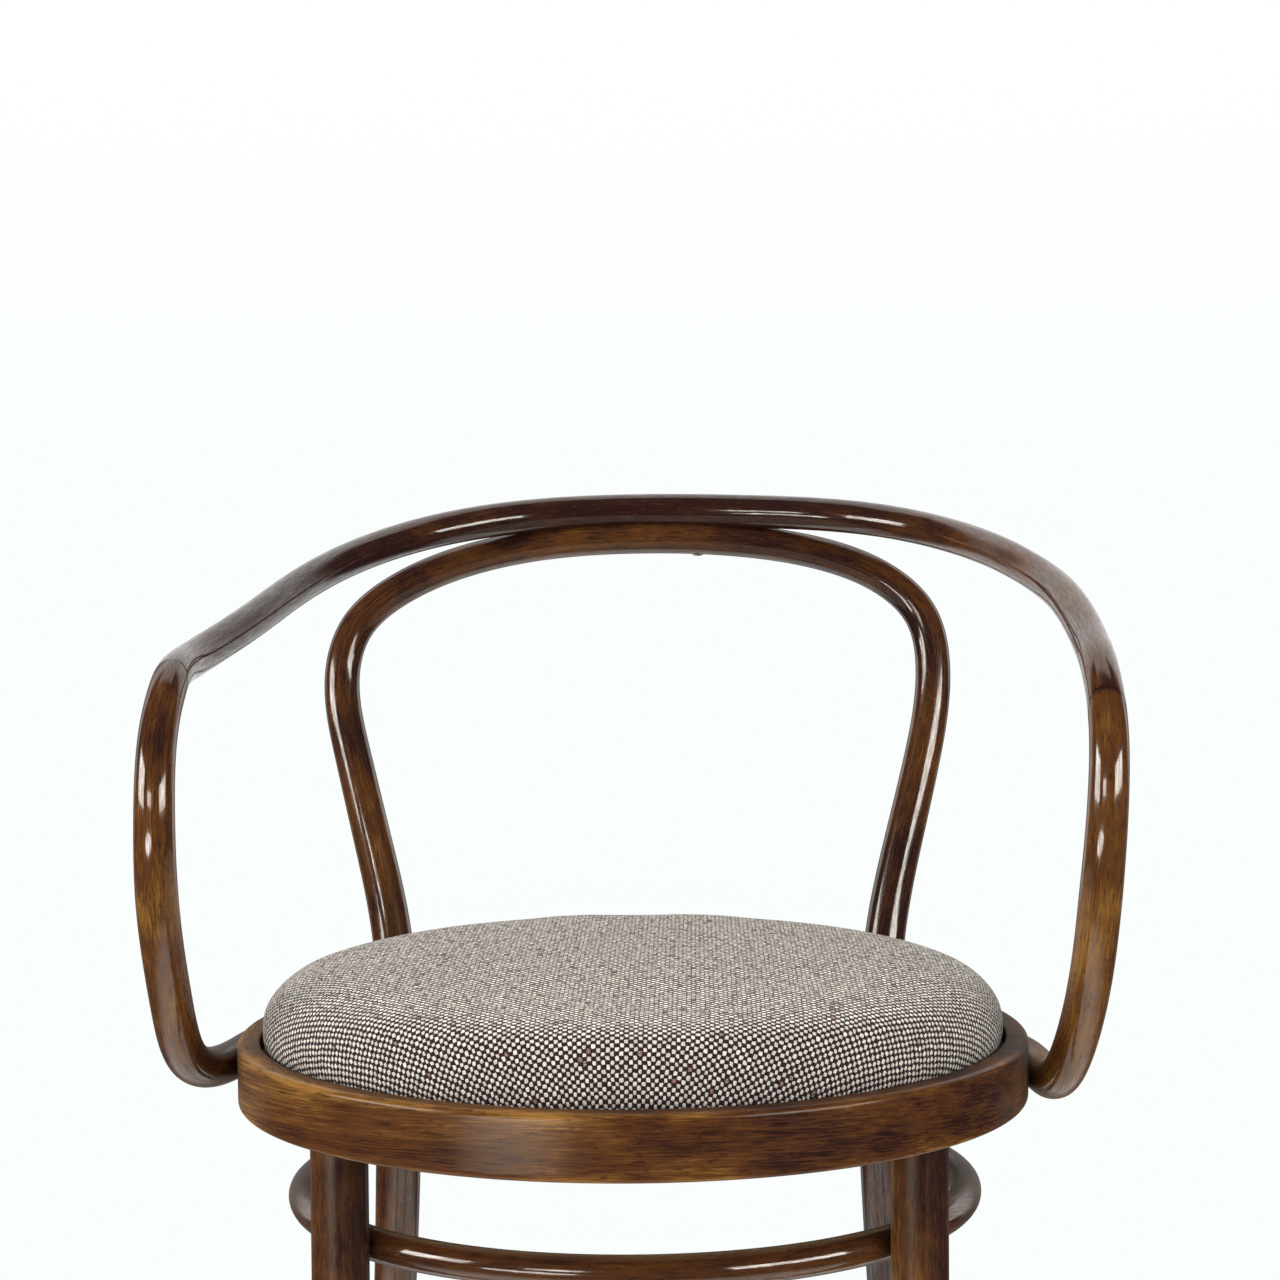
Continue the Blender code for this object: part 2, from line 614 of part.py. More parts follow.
def bed_legs(ring, brace, hoop_points):
    """Notch the seat ring and the leg ring where the rear legs pass, and the leg ring for the front legs."""
    radii = clear_of(hoop_radii(hoop_points))
    for side, sign in SIDES:
        own = sign * hoop_points[:, 0] > 0
        bands = ((ring, SEAT_BOTTOM, SEAT_HEIGHT), (brace, LEG_RING_HEIGHT, LEG_RING_HEIGHT))
        for target, low, high in bands:
            near = own & between(hoop_points, low - NOTCH_MARGIN, high + NOTCH_MARGIN)
            notch = rod(hoop_points[near], radii[near])
            cut(target, cutter(f"{target.name}_notch_{side}", notch))
        grown = (FRONT_LEG_ROD / 2 + CLEARANCE) / math.cos(math.pi / FRONT_LEG_SIDES)
        reach = (LEG_RING_HEIGHT - LEG_RING_ROD, LEG_RING_HEIGHT + LEG_RING_ROD)
        stations = [(front_leg_axis(sign, height), grown) for height in reach]
        cut(brace, cutter(f"front_notch_{side}", stacked(stations, FRONT_LEG_SIDES)))


def join_hoops(arm, hoop_points):
    """Groove the underside of the arm hoop so that it beds on the arch of the back hoop."""
    near = hoop_points[:, 2] > HOOP_TOP_HEIGHT - HOOP_SHOULDER_DROP / 2
    groove = rod(hoop_points[near], clear_of(hoop_radii(hoop_points[near])))
    cut(arm, cutter("hoop_groove", groove))


def screw_shape(kind, length, grow=0.0, open_top=0.0):
    """Turned screw with its head's edge at zero and its shank down -Z; a cutter grows and opens upwards."""
    shank = kind["shank"] / 2 + grow
    head = kind["head"] / 2 + grow
    under = -kind["head_height"] - grow
    tip = -length - grow
    profile = [(0.0, tip), (shank, tip + shank), (shank, under)]
    if not kind["cone"]:
        profile.append((head, under))
    profile.append((head, 0.0))
    if open_top:
        profile.extend([(head, open_top), (0.0, open_top)])
    elif kind["dome"]:
        profile.extend([(0.72 * head, 0.72 * kind["dome"]), (0.0, kind["dome"])])
    else:
        profile.append((0.0, 0.0))
    return turned(profile, SCREW_SEGMENTS)


def fasten(name, at, outward, kind, length, targets):
    """Set a screw with its head facing outwards and bore the pieces that it passes through."""
    turn = Vector(outward).to_track_quat("Z", "Y").to_euler()
    item = piece(name, screw_shape(kind, length), "steel")
    hole = cutter(f"{name}_hole", screw_shape(kind, length, CLEARANCE, open_top=kind["head"]))
    for made in (item, hole):
        made.location = at
        made.rotation_euler = turn
    for target in targets:
        cut(target, hole)


def arm_screws(ring, uprights):
    """Two screws through each arm end into the seat ring."""
    length = ARM_END_ROD - SCREW_SINK - ARM_END_BED + ARM_SCREW_BITE
    reach = arm_end_reach() + ARM_END_ROD / 2 - SCREW_SINK
    for side, sign in SIDES:
        for place_name, angle in zip(("front", "rear"), ARM_SCREW_ANGLES):
            turn = math.radians(angle)
            out = Vector((sign * math.cos(turn), math.sin(turn), 0.0))
            at = out * reach + Vector((0.0, 0.0, ARM_END_HEIGHT[side]))
            fasten(f"arm_screw_{side}_{place_name}", at, out, WOOD_SCREW, length, (uprights[side], ring))


def hoop_screws(hoop, arm):
    """Two round-headed screws up through the arch of the back hoop into the arm hoop."""
    length = HOOP_TOP_ROD + HOOP_SCREW_BITE
    setback = hoop_setback(HOOP_TOP_HEIGHT)
    under = HOOP_TOP_HEIGHT - HOOP_TOP_ROD / 2
    for side, sign in SIDES:
        at = (sign * HOOP_SCREW_SPACING / 2, setback, under)
        fasten(f"hoop_screw_{side}", at, (0, 0, -1), ROUND_SCREW, length, (hoop, arm))


def brace_screws(brace, legs, hoop, hoop_points):
    """A screw from inside the leg ring into each leg."""
    centre = Vector((0.0, LEG_RING_SETBACK, LEG_RING_HEIGHT))
    length = LEG_RING_ROD - SCREW_SINK - LEG_BED + BRACE_SCREW_BITE
    for side, sign in SIDES:
        rear = hoop_at(hoop_points, sign, LEG_RING_HEIGHT)
        stands = (("front", front_leg_axis(sign, LEG_RING_HEIGHT), legs[side]), ("rear", rear, hoop))
        for end, axis, leg in stands:
            out = (axis - centre).normalized()
            at = centre + out * (LEG_RING_RADIUS - LEG_RING_ROD / 2 + SCREW_SINK)
            fasten(f"brace_screw_{end}_{side}", at, -out, WOOD_SCREW, length, (brace, leg))


def seat_screws(ring, cover, panel):
    """Four screws up through the lip of the seat ring, the turned hem and into the panel."""
    radius = PANEL_RADIUS - SEAT_SCREW_INSET
    base = SEAT_BOTTOM + SCREW_SINK
    length = PANEL_BOTTOM + SEAT_SCREW_BITE - base
    for name, angle in (("right", 0), ("rear", 90), ("left", 180), ("front", 270)):
        turn = math.radians(angle)
        at = (radius * math.cos(turn), radius * math.sin(turn), base)
        fasten(f"seat_screw_{name}", at, (0, 0, -1), WOOD_SCREW, length, (ring, cover, panel))


def hoop_at(points, sign, height):
    """Point on one leg of the back hoop at a height below its shoulder."""
    own = points[(sign * points[:, 0] > 0) & (points[:, 2] < HOOP_TOP_HEIGHT - HOOP_SHOULDER_DROP)]
    own = own[np.argsort(own[:, 2])]
    across = np.interp(height, own[:, 2], own[:, 0])
    setback = np.interp(height, own[:, 2], own[:, 1])
    return Vector((across, setback, height))


def collar(bore, radius, height):
    """Profile of a plain ring that stands on zero."""
    return [(bore, 0.0), (radius, 0.0), (radius, height), (bore, height)]


def rear_bolts(ring, hoop, points):
    """A bolt, washer and nut that hold each rear leg to the seat ring."""
    height = LIP_TOP - BOLT_BELOW_REBATE
    inner = LIP_RADIUS * math.cos(math.pi / RING_SEGMENTS) - WASHER_DIAMETER**2 / 8 / LIP_RADIUS - CLEARANCE
    bore = BOLT["shank"] / 2 + CLEARANCE
    washer = collar(bore, WASHER_DIAMETER / 2, WASHER_THICKNESS)
    nut = collar(bore / math.cos(math.pi / 6), NUT_ACROSS_CORNERS / 2, NUT_HEIGHT)
    stack = WASHER_THICKNESS + CLEARANCE + NUT_HEIGHT
    for side, sign in SIDES:
        axis = hoop_at(points, sign, height)
        out = Vector((axis.x, axis.y, 0.0))
        size = hoop_radii(np.array([axis]))[0]
        head = out.length + size - BOLT_SINK + BOLT["head_height"]
        out.normalize()
        rise = Vector((0.0, 0.0, height))
        length = head - inner + stack + BOLT_PROUD
        fasten(f"rear_bolt_{side}", out * head + rise, out, BOLT, length, (ring, hoop))
        turn = out.to_track_quat("Z", "Y").to_euler()
        rings = (
            ("rear_washer", washer, SCREW_SEGMENTS * 2, inner - WASHER_THICKNESS),
            ("rear_nut", nut, 6, inner - stack),
        )
        for name, profile, segments, reach in rings:
            made = piece(f"{name}_{side}", turned(profile, segments, ring=True), "steel")
            made.location = out * reach + rise
            made.rotation_euler = turn


def foot_glides(legs, hoop, hoop_points):
    """A nail-on glide under each leg."""
    flat = GLIDE_DIAMETER / 2
    nail = GLIDE_NAIL / 2
    spike = GLIDE_HEIGHT + GLIDE_NAIL_LENGTH
    shape = [(0.0, 0.0), (flat - 0.001, 0.0), (flat, 0.001), (flat, GLIDE_HEIGHT), (nail, GLIDE_HEIGHT),
             (nail, spike - nail), (0.0, spike)]
    grown = nail + CLEARANCE
    hole = [(0.0, 0.0), (grown, 0.0), (grown, spike), (0.0, spike + CLEARANCE)]
    for side, sign in SIDES:
        stands = (
            ("front", front_leg_axis(sign, GLIDE_HEIGHT), legs[side]),
            ("rear", hoop_at(hoop_points, sign, GLIDE_HEIGHT), hoop),
        )
        for end, axis, leg in stands:
            glide = piece(f"foot_glide_{end}_{side}", turned(shape, 2 * SCREW_SEGMENTS), "glide_plastic")
            bore = cutter(f"glide_hole_{end}_{side}", turned(hole, SCREW_SEGMENTS))
            for made in (glide, bore):
                made.location = (axis.x, axis.y, 0.0)
            cut(leg, bore)


def chair_empty():
    """The empty that carries the chair and centres it front to back over the origin."""
    front = SEAT_RING_RADIUS
    rear = max(REAR_FOOT_SETBACK + REAR_LEG_FOOT / 2, back_setback() + BACK_ROD / 2)
    carrier = bpy.data.objects.new("chair", None)
    carrier.location = (0.0, (front - rear) / 2, 0.0)
    bpy.context.scene.collection.objects.link(carrier)


def main():
    """Build the chair."""
    clear_scene()
    chair_empty()
    hoop_points = hoop_path()
    ring = seat_ring()
    cover, panel = seat_pad()
    hoop = back_hoop(hoop_points)
    arm, uprights = outer_hoop(arm_path())
    seat_saddle(uprights)
    legs = {side: front_leg(side, sign, ring) for side, sign in SIDES}
    brace = leg_ring()
    bed_legs(ring, brace, hoop_points)
    join_hoops(arm, hoop_points)
    arm_screws(ring, uprights)
    hoop_screws(hoop, arm)
    brace_screws(brace, legs, hoop, hoop_points)
    seat_screws(ring, cover, panel)
    rear_bolts(ring, hoop, hoop_points)
    foot_glides(legs, hoop, hoop_points)


if __name__ == "__main__":
    main()
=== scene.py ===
"""Bentwood armchair: finely bent rods, a woven seat pad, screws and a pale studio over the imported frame.

Sizes are in metres, in the frame's own axes: Z is up and the sitter faces -Y. The rods' routes are worked
out about the seat ring's axis, which the frame gives, and are then moved to it.
"""
import math

import bpy
import numpy as np
from bpy.props import FloatProperty, FloatVectorProperty, IntProperty, PointerProperty
from mathutils import Matrix, Vector


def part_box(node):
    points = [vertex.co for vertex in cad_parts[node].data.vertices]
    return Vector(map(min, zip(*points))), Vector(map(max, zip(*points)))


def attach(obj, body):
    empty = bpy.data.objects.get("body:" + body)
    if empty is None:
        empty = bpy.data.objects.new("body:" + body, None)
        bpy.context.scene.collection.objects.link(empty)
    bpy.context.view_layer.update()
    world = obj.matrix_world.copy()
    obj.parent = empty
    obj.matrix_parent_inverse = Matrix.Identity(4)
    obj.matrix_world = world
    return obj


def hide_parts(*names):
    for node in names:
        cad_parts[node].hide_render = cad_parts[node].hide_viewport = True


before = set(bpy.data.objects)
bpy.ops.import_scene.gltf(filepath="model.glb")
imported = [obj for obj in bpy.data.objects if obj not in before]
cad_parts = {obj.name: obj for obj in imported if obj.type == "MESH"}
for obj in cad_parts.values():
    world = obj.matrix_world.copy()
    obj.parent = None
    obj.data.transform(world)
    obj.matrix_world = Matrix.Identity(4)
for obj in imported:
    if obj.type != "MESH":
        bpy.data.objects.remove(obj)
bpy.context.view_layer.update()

bl_info = {
    "name": "Bentwood Armchair",
    "version": (1, 0, 0),
    "blender": (4, 5, 0),
    "location": "3D View > Sidebar > Armchair",
    "description": "Bent rods, woven seat pad, screws and studio for a bentwood armchair",
    "category": "Object",
}

RING_LOW, RING_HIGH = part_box("seat_ring")
SEAT_CENTRE = np.array([(RING_LOW.x + RING_HIGH.x) / 2, (RING_LOW.y + RING_HIGH.y) / 2, 0.0])
GLIDE_TOP = min(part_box("back_hoop")[0].z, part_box("front_leg_left")[0].z)
SIDES = (("left", -1), ("right", 1))
GAP = 0.0003
SEED_SHIFT = np.array([1.7, 0.31, 0.17, 0.0])

# Stations along each arm: share of the half width, then the way from front to back and the lift
# above the slope, both as shares of the arm's reach
ARM_ROUTE = {
    "left": ((0.26, 0.976, -0.0009), (0.51, 0.889, -0.0056), (0.67, 0.764, -0.0099),
             (0.79, 0.592, -0.0142), (0.88, 0.402, -0.0207), (0.94, 0.279, -0.0226),
             (0.978, 0.178, -0.0173)),
    "right": ((0.26, 0.986, 0.0019), (0.51, 0.931, 0.0068), (0.67, 0.846, 0.0121),
              (0.79, 0.724, 0.0198), (0.88, 0.583, 0.0266), (0.94, 0.471, 0.0248),
              (0.978, 0.337, 0.022), (0.9975, 0.17, 0.0093)),
}

# Stations down each upright: share of the half width, share of the arm's reach behind its front,
# share of the height from the seat ring up to the bend
UPRIGHT_ROUTE = {
    "left": ((0.9895, 0.0495, 0.99), (0.998, -0.0248, 0.886), (1.0008, -0.065, 0.685),
             (1.002, -0.0464, 0.477), (0.994, 0.0372, 0.212), (0.982, 0.1362, 0.050)),
    "right": ((0.998, 0.0495, 1.004), (1.0, -0.0217, 0.915), (0.9937, -0.065, 0.695),
              (0.9812, -0.0464, 0.466), (0.9648, 0.0372, 0.1995), (0.930, 0.165, -0.012)),
}
ARM_END_ANGLES = (7.0, 13.0, 20.0)
ARM_OUTREACH = {"left": 0.0275, "right": 0.0325}
ARM_END_DROP = {"left": 0.0029, "right": 0.0079}
SCARF_DROP = {"left": -0.0005, "right": 0.012}
SCARF_HEEL = 0.0012
SCARF_END_GAP = 0.0006
HOOP_SQUARENESS = {"left": 2.10, "right": 2.54}

# Between the foot and the leg ring the rear leg keeps these shares of the foot's place, across and back
KNEE_ACROSS = 0.42
KNEE_BACK = 0.40
# From the seat ring to the shoulders of the hoop: share of the rise, share of the widening
HOOP_WIDENING = ((0.25, 0.155), (0.5, 0.475), (0.75, 0.82))
ARCH_ANGLES = (90, 72, 54, 36, 18)
# Shares of the way from the back's middle to an arm's end at which the rail's thickness is given
ARM_SHARES = (0.0, 0.35, 0.56, 0.70, 0.86, 1.0)
# Waves of hand bending: lobes round the rod, pace along it, turns of its seed, share of the radius
WAVER = ((2, 19, 1, 0.007), (3, -47, 2, 0.004))

# Steps along the rods and profiles in metres, samples of a spline, and facets round the pieces
HOOP_STEP = 0.003
ARM_STEP = 0.0025
TOOL_STEP = 0.004
PROFILE_STEP = 0.003
SPLINE_SAMPLES = 8000
CORNER_STEPS = 7
TAPER_RINGS = 60
FULL_RINGS = 24
RING_FACETS = 360
DRUM_FACETS = 240
LEG_RING_SIDES = 36
LEG_SIDES = 56
SCREW_SIDES = 48
FLOOR_SIDES = 96
FLOOR_RADIUS = 30.0
SHARP_EDGE = math.radians(38)
# Slots of the screws, and how far their cutting tool stands out
SLOT_WIDTH = 0.0012
SLOT_DEPTH = 0.0012
SLOT_REACH = 0.02
SLOT_ABOVE = 0.002

# How much paler each rod is, by share of its length from its left or lower end: partly the stain's own
# tone, partly painted light and shade, as told above each table
# painted light: the rail is paler towards the right arm, where the lamps on the right light it; it is darker
# at the middle
RAIL_STAIN_AND_LIGHT = (
    (0.0, 0.02), (0.12, -0.04), (0.3, -0.03), (0.45, -0.06),
    (0.55, -0.04), (0.66, 0.13), (0.8, 0.2), (1.0, 0.2),
)
# painted sheen: the hoop is paler on its left side, up towards the arch; it is darker on its right side
HOOP_STAIN_AND_SHEEN = ((0.0, -0.04), (0.3, 0.13), (0.5, 0.02), (0.7, -0.08), (1.0, -0.04))
# painted shade: the left upright is darker low down, on its shadow side; both uprights darken to a line at the
# top tip, painted shade in the scarf's seam
UPRIGHT_STAIN_AND_SHADE = {
    "left": (
        (0.0, -0.26), (0.42, -0.20), (0.62, 0.02), (0.985, -0.08),
        (0.992, -0.1), (0.997, -0.8), (1.0, -0.8),
    ),
    "right": ((0.0, 0.02), (0.3, 0.06), (0.6, 0.06), (0.992, 0.02), (0.997, -0.8), (1.0, -0.8)),
}
EVEN_STAIN = ((0.0, 0.0), (1.0, 0.0))
# Painted light: the front legs are paler by this on the side turned to the lamps on the left,
# and the right leg is paler than the left
LEG_PAINTED_LIGHT = 0.26
LEG_LIT_SIDE = math.pi * 0.9
LEG_TONE = 0.15
# The seat ring is paler along its outer edges, partly wear and partly painted light from the low lamps, and
# darker on its right
EDGE_WEAR_AND_LIGHT = 0.26
EDGE_WEAR_AND_LIGHT_WIDTH = 0.004
RING_SHADE = 0.19
BOLD_PARTS = ("seat_ring", "legs", "hoop", "upright_left")
RUBBED_PARTS = ("seat_ring", "legs")

# Noises of the stained grain: scales along and across the rod, detail and roughness
GRAIN_NOISES = {
    "streak": ((9.0, 300.0, 300.0), 4.0, 0.6),
    "fibre": ((95.0, 1500.0, 1500.0), 3.0, 0.6),
    "blotch": ((26.0, 46.0, 46.0), 3.0, 0.55),
    "zone": ((4.0, 13.0, 13.0), 1.0, 0.5),
    "fleck": ((170.0, 520.0, 520.0), 2.0, 0.6),
    "nick": ((60.0, 240.0, 240.0), 2.0, 0.5),
}
# How far a noise moves the tone
GRAIN_WEIGHTS = {"streak": 0.35, "fibre": 0.7, "blotch": 0.80, "zone": 0.60}

# Seat cover: points along the coarse sheet's side, share of the cloth's reach over which it comes to be
# held and the steps of that, the solver's frames and settings, and rounds of evening out
COARSE_SHEET = 101
HELD_MARGIN = 0.06
HELD_STEPS = 8
CLOTH_FRAMES = 20
CLOTH_SETTINGS = {
    "vertex_group_mass": "held", "use_pressure": True, "uniform_pressure_force": 4.0,
    "tension_stiffness": 12.0, "bending_stiffness": 2.0,
}
EVENING_ROUNDS = 14

WHITE = (1.0, 1.0, 1.0, 1.0)
BACKDROP = (0.955, 0.990, 0.978, 1.0)
DIM_ROOM = (0.035, 0.035, 0.037, 1.0)
SENSOR = 36.0


def length(name, description, default):
    """A size in metres that a user may change."""
    return FloatProperty(name=name, description=description, default=default, unit="LENGTH", precision=4)


def colour(name, description, default):
    """A colour that a user may change."""
    return FloatVectorProperty(
        name=name, description=description, default=default, subtype="COLOR", size=3, min=0.0, max=1.0)


def share(name, description, default, top=1.0):
    """A plain number from nought up."""
    return FloatProperty(name=name, description=description, default=default, min=0.0, max=top, precision=3)


class SeatSizes(bpy.types.PropertyGroup):
    """Sizes of the seat ring and of the pad in its rebate."""

    top: length("Seat height", "Top of the seat ring above the floor", RING_HIGH.z)
    radius: length("Ring radius", "Outside radius of the seat ring", (RING_HIGH.x - RING_LOW.x) / 2)
    height: length("Ring height", "Height of the seat ring", RING_HIGH.z - RING_LOW.z)
    width: length("Ring width", "From the outer face to the inner face of the lip", 0.043)
    rim: length("Rim width", "Width of the rim outside the rebate", 0.0125)
    rebate: length("Rebate depth", "How deep the pad sits below the rim", 0.010)
    rounding: length("Rounding", "Radius of the ring's outer edges", 0.0036)
    pad_gap: length("Pad gap", "Gap between the pad and the rebate's wall", 0.0018)
    draw_in: length("Draw-in", "How far the pad's side is drawn in at the bottom", 0.0045)
    widest: length("Widest height", "Height above the rim at which the pad is widest", 0.0040)
    crown: length("Crown", "Height of the pad's middle above the rim", 0.0440)
    shoulder: share("Shoulder", "Squareness of the pad's outline, across", 7.0, 12.0)
    dome: share("Dome", "Squareness of the pad's outline, upwards", 2.3, 8.0)
    front_shoulder: share("Front shoulder", "Squareness of the outline at the front, across", 11.0, 12.0)
    front_dome: share("Front dome", "Squareness of the outline at the front, upwards", 7.0, 8.0)
    front_sag: length("Front sag", "How far the front of the pad has settled", 0.0045)
    hem: length("Hem", "How far the cover is turned under", 0.028)
    cover: length("Cover", "Thickness of the cover", 0.0016)
    swell: length("Swell", "How far the cloth may swell over its foam", 0.006)


class HoopSizes(bpy.types.PropertyGroup):
    """Sizes of the back hoop, which is also the rear legs."""

    top: length("Arch height", "Axis of the arch above the floor", 0.7225)
    half_width: length("Half width", "Half width at the shoulders", 0.1875)
    shoulder_drop: length("Shoulder drop", "Shoulders below the top of the arch", 0.082)
    waist: length("Waist", "Half width where the hoop passes the seat ring", 0.1505)
    lean: FloatProperty(
        name="Lean", description="Backward lean of the arch", default=math.radians(11.8), subtype="ANGLE")
    bed: length("Bed", "How deep the hoop beds into the seat ring", 0.0079)
    top_rod: length("Arch rod", "Diameter at the top of the arch", 0.0204)
    shoulder_rod: length("Shoulder rod", "Diameter at the shoulders", 0.0220)
    seat_rod: length("Seat rod", "Diameter at the seat ring", 0.0260)
    leg_rod: length("Leg rod", "Diameter at the leg ring", 0.0284)
    foot_rod: length("Foot rod", "Diameter at the foot", 0.0235)
    splay: length("Splay", "Half width gained from the waist to the leg ring", 0.0008)
    foot_half: length("Foot half spread", "Half distance between the rear feet", 0.176)
    foot_back: length("Foot setback", "Rear feet behind the seat's centre", 0.262)


class ArmSizes(bpy.types.PropertyGroup):
    """Sizes of the rail that makes the top of the back, the arms and their uprights."""

    groove: length("Groove", "How deep the rail beds on the arch", 0.0037)
    behind: length("Behind", "Rail's axis behind that of the arch", 0.001)
    slope: share("Slope", "Fall of the arms for each metre forward", 0.27)
    front: length("Front", "Front of the arms from the seat's centre", -0.090)
    bend_rise: length("Bend rise", "Front bend above the arms' slope", 0.0035)
    back_rod: length("Back rod", "Diameter behind the back", 0.0214)
    arm_rod: length("Arm rod", "Diameter of the arms", 0.0205)
    upright_rod: length("Upright rod", "Diameter of the uprights", 0.0232)
    end_rod: length("End rod", "Diameter at the lower ends", 0.0218)
    end_bed: length("End bed", "How deep the ends are hollowed to the seat ring", 0.003)
    scarf: length("Scarf", "Length of the scarf joints", 0.052)
    scarf_tip: length("Scarf tip", "Thickness of a scarf's blunt tip", 0.0009)


class LegSizes(bpy.types.PropertyGroup):
    """Sizes of the front legs and of the leg ring."""

    ring_radius: length("Leg ring radius", "Radius of the leg ring's axis", 0.190)
    ring_rod: length("Leg ring rod", "Diameter of the leg ring's rod", 0.0184)
    ring_height: length("Leg ring height", "Axis of the leg ring above the floor", 0.3545)
    ring_back: length("Leg ring setback", "Leg ring behind the seat's centre", 0.0255)
    bed: length("Leg bed", "How deep the legs bed into the leg ring", 0.001)
    rod: length("Leg rod", "Diameter of the front legs", 0.0308)
    foot: length("Leg foot", "Diameter of the front legs at the foot", 0.0245)
    spread: length("Spread", "Distance between the front legs", 0.307)
    seat_radius: length("Socket radius", "Sockets from the seat's centre", 0.1962)
    full_drop: length("Full drop", "Length of full thickness below the seat ring", 0.090)
    tenon_rod: length("Tenon rod", "Diameter of the tenons", 0.020)
    tenon: length("Tenon", "Length of the tenons", 0.018)


class WoodFinish(bpy.types.PropertyGroup):
    """Stain and lacquer of the beech, and how pale the stain came out on each piece."""

    umber: colour("Umber", "Darkest streaks of the stain", (0.022, 0.0072, 0.0062))
    walnut: colour("Walnut", "Main tone of the stain", (0.086, 0.0300, 0.0080))
    amber: colour("Amber", "Palest streaks of the stain", (0.270, 0.124, 0.024))
    rail: share("Rail", "Paleness of the rail", 0.14)
    hoop: share("Hoop", "Paleness of the back hoop and rear legs", 0.26)
    upright_left: share("Left upright", "Paleness of the left upright", 0.46)
    upright_right: share("Right upright", "Paleness of the right upright", 0.50)
    seat_ring: share("Seat ring", "Paleness of the seat ring", 0.51)
    leg_ring: share("Leg ring", "Paleness of the leg ring", 0.26)
    legs: share("Front legs", "Paleness of the front legs", 0.40)
    lacquer: colour("Lacquer", "Warm tint of the old lacquer's reflections", (1.0, 0.90, 0.76))
    bold_figure: share("Bold figure", "How much stronger the grain shows on the boldest pieces", 1.5, 4.0)
    gloss: share("Gloss", "Weight of the clear top coat on the rods", 0.95)
    ring_gloss: share("Ring gloss", "Weight of the rubbed top coat on the seat ring", 0.06)
    ring_dullness: share("Ring dullness", "Roughness that wear adds to the seat ring", 0.10)
    hoop_dullness: share("Hoop dullness", "Roughness that wear adds to the back hoop", 0.03)
    leg_gloss: share("Leg gloss", "Weight of the rubbed top coat on the front legs", 0.12)
    leg_dullness: share("Leg dullness", "Roughness that wear adds to the front legs", 0.18)
    edge_dullness: share("Edge dullness", "Roughness that fine scratches add, seen edge on", 0.45)
    rail_wear: share("Rail wear", "How far the rail shows that edge dullness", 0.15)
    smoothness: share("Coat roughness", "Roughness of the clear top coat", 0.05)


class ClothFinish(bpy.types.PropertyGroup):
    """Yarns of the seat cover."""

    cream: colour("Cream", "Pale yarn", (0.80, 0.735, 0.635))
    brown: colour("Brown", "Dark yarn", (0.019, 0.0042, 0.0098))
    rust: colour("Rust", "Flecks spun into the pale yarn", (0.13, 0.018, 0.009))
    pitch: length("Yarn pitch", "Distance between neighbouring yarns", 0.00240)


class StageLook(bpy.types.PropertyGroup):
    """Floor, light and camera."""

    floor: colour("Floor", "Colour of the floor", (0.86, 0.88, 0.87))
    distance: length("Camera distance", "Camera in front of the seat's centre", 1.70)
    height: length("Camera height", "Camera above the floor", 0.77663)
    aside: length("Camera aside", "Camera to the right of the seat's centre", 0.005755)
    turn: FloatProperty(
        name="Turn", description="Chair's turn to the camera", default=0.018203, subtype="ANGLE")
    pitch: FloatProperty(name="Pitch", description="Downward tilt", default=0.061825, subtype="ANGLE")
    roll: FloatProperty(name="Roll", description="Roll of the camera", default=-0.007741, subtype="ANGLE")
    lens: FloatProperty(name="Lens", description="Focal length in millimetres", default=84.95, min=1.0)
    glow: share("Glow", "Brightness of the softboxes' faces", 9.0, 100.0)


class ArmchairSettings(bpy.types.PropertyGroup):
    """All that a user may change."""

    seat: PointerProperty(type=SeatSizes)
    hoop: PointerProperty(type=HoopSizes)
    arm: PointerProperty(type=ArmSizes)
    leg: PointerProperty(type=LegSizes)
    wood: PointerProperty(type=WoodFinish)
    cloth: PointerProperty(type=ClothFinish)
    stage: PointerProperty(type=StageLook)
    rod_sides: IntProperty(name="Rod sides", description="Facets round a rod", default=40, min=8)


def settings():
    """The scene's armchair settings."""
    return bpy.context.scene.armchair


def smooth_path(stations, step):
    """Natural cubic spline through the stations, read at equal steps of length."""
    fixed = np.array(stations, dtype=float)
    chord = np.linalg.norm(np.diff(fixed, axis=0), axis=1)
    knots = np.concatenate([[0.0], np.cumsum(chord)])
    slopes = np.diff(fixed, axis=0) / chord[:, None]
    count = len(fixed)
    inner = np.arange(1, count - 1)
    system = np.eye(count)
    system[inner, inner - 1] = chord[:-1]
    system[inner, inner] = 2 * (chord[:-1] + chord[1:])
    system[inner, inner + 1] = chord[1:]
    right = np.zeros((count, 3))
    right[inner] = 6 * np.diff(slopes, axis=0)
    bends = np.linalg.solve(system, right)
    at = np.linspace(0.0, knots[-1], SPLINE_SAMPLES)
    span = np.clip(np.searchsorted(knots, at, side="right") - 1, 0, count - 2)
    width = chord[span][:, None]
    low = (knots[span + 1] - at)[:, None] / width
    high = 1.0 - low
    fine = low * fixed[span] + high * fixed[span + 1]
    fine += ((low**3 - low) * bends[span] + (high**3 - high) * bends[span + 1]) * width**2 / 6
    run = path_length(fine)
    stops = np.linspace(0.0, run[-1], int(round(run[-1] / step)) + 1)
    return np.stack([np.interp(stops, run, fine[:, axis]) for axis in range(3)], axis=1)


def path_length(path):
    """Distance along a path at each of its points."""
    return np.concatenate([[0.0], np.cumsum(np.linalg.norm(np.diff(path, axis=0), axis=1))])


def seat_middle():
    """Height of the middle of the seat ring."""
    return settings().seat.top - settings().seat.height / 2


def hoop_setback(height):
    """Setback of the back hoop's leaning plane: where it beds on the ring, plus the lean times the rise."""
    hoop = settings().hoop
    reach = settings().seat.radius - hoop.bed + hoop.seat_rod / 2
    return math.sqrt(reach**2 - hoop.waist**2) + math.tan(hoop.lean) * (height - seat_middle())


def beside_leg_ring(half, diameter):
    """Distance along Y from the leg ring's centre to a leg that beds on its outside."""
    leg = settings().leg
    reach = leg.ring_radius + leg.ring_rod / 2 + diameter / 2 - leg.bed
    return math.sqrt(reach**2 - half**2)


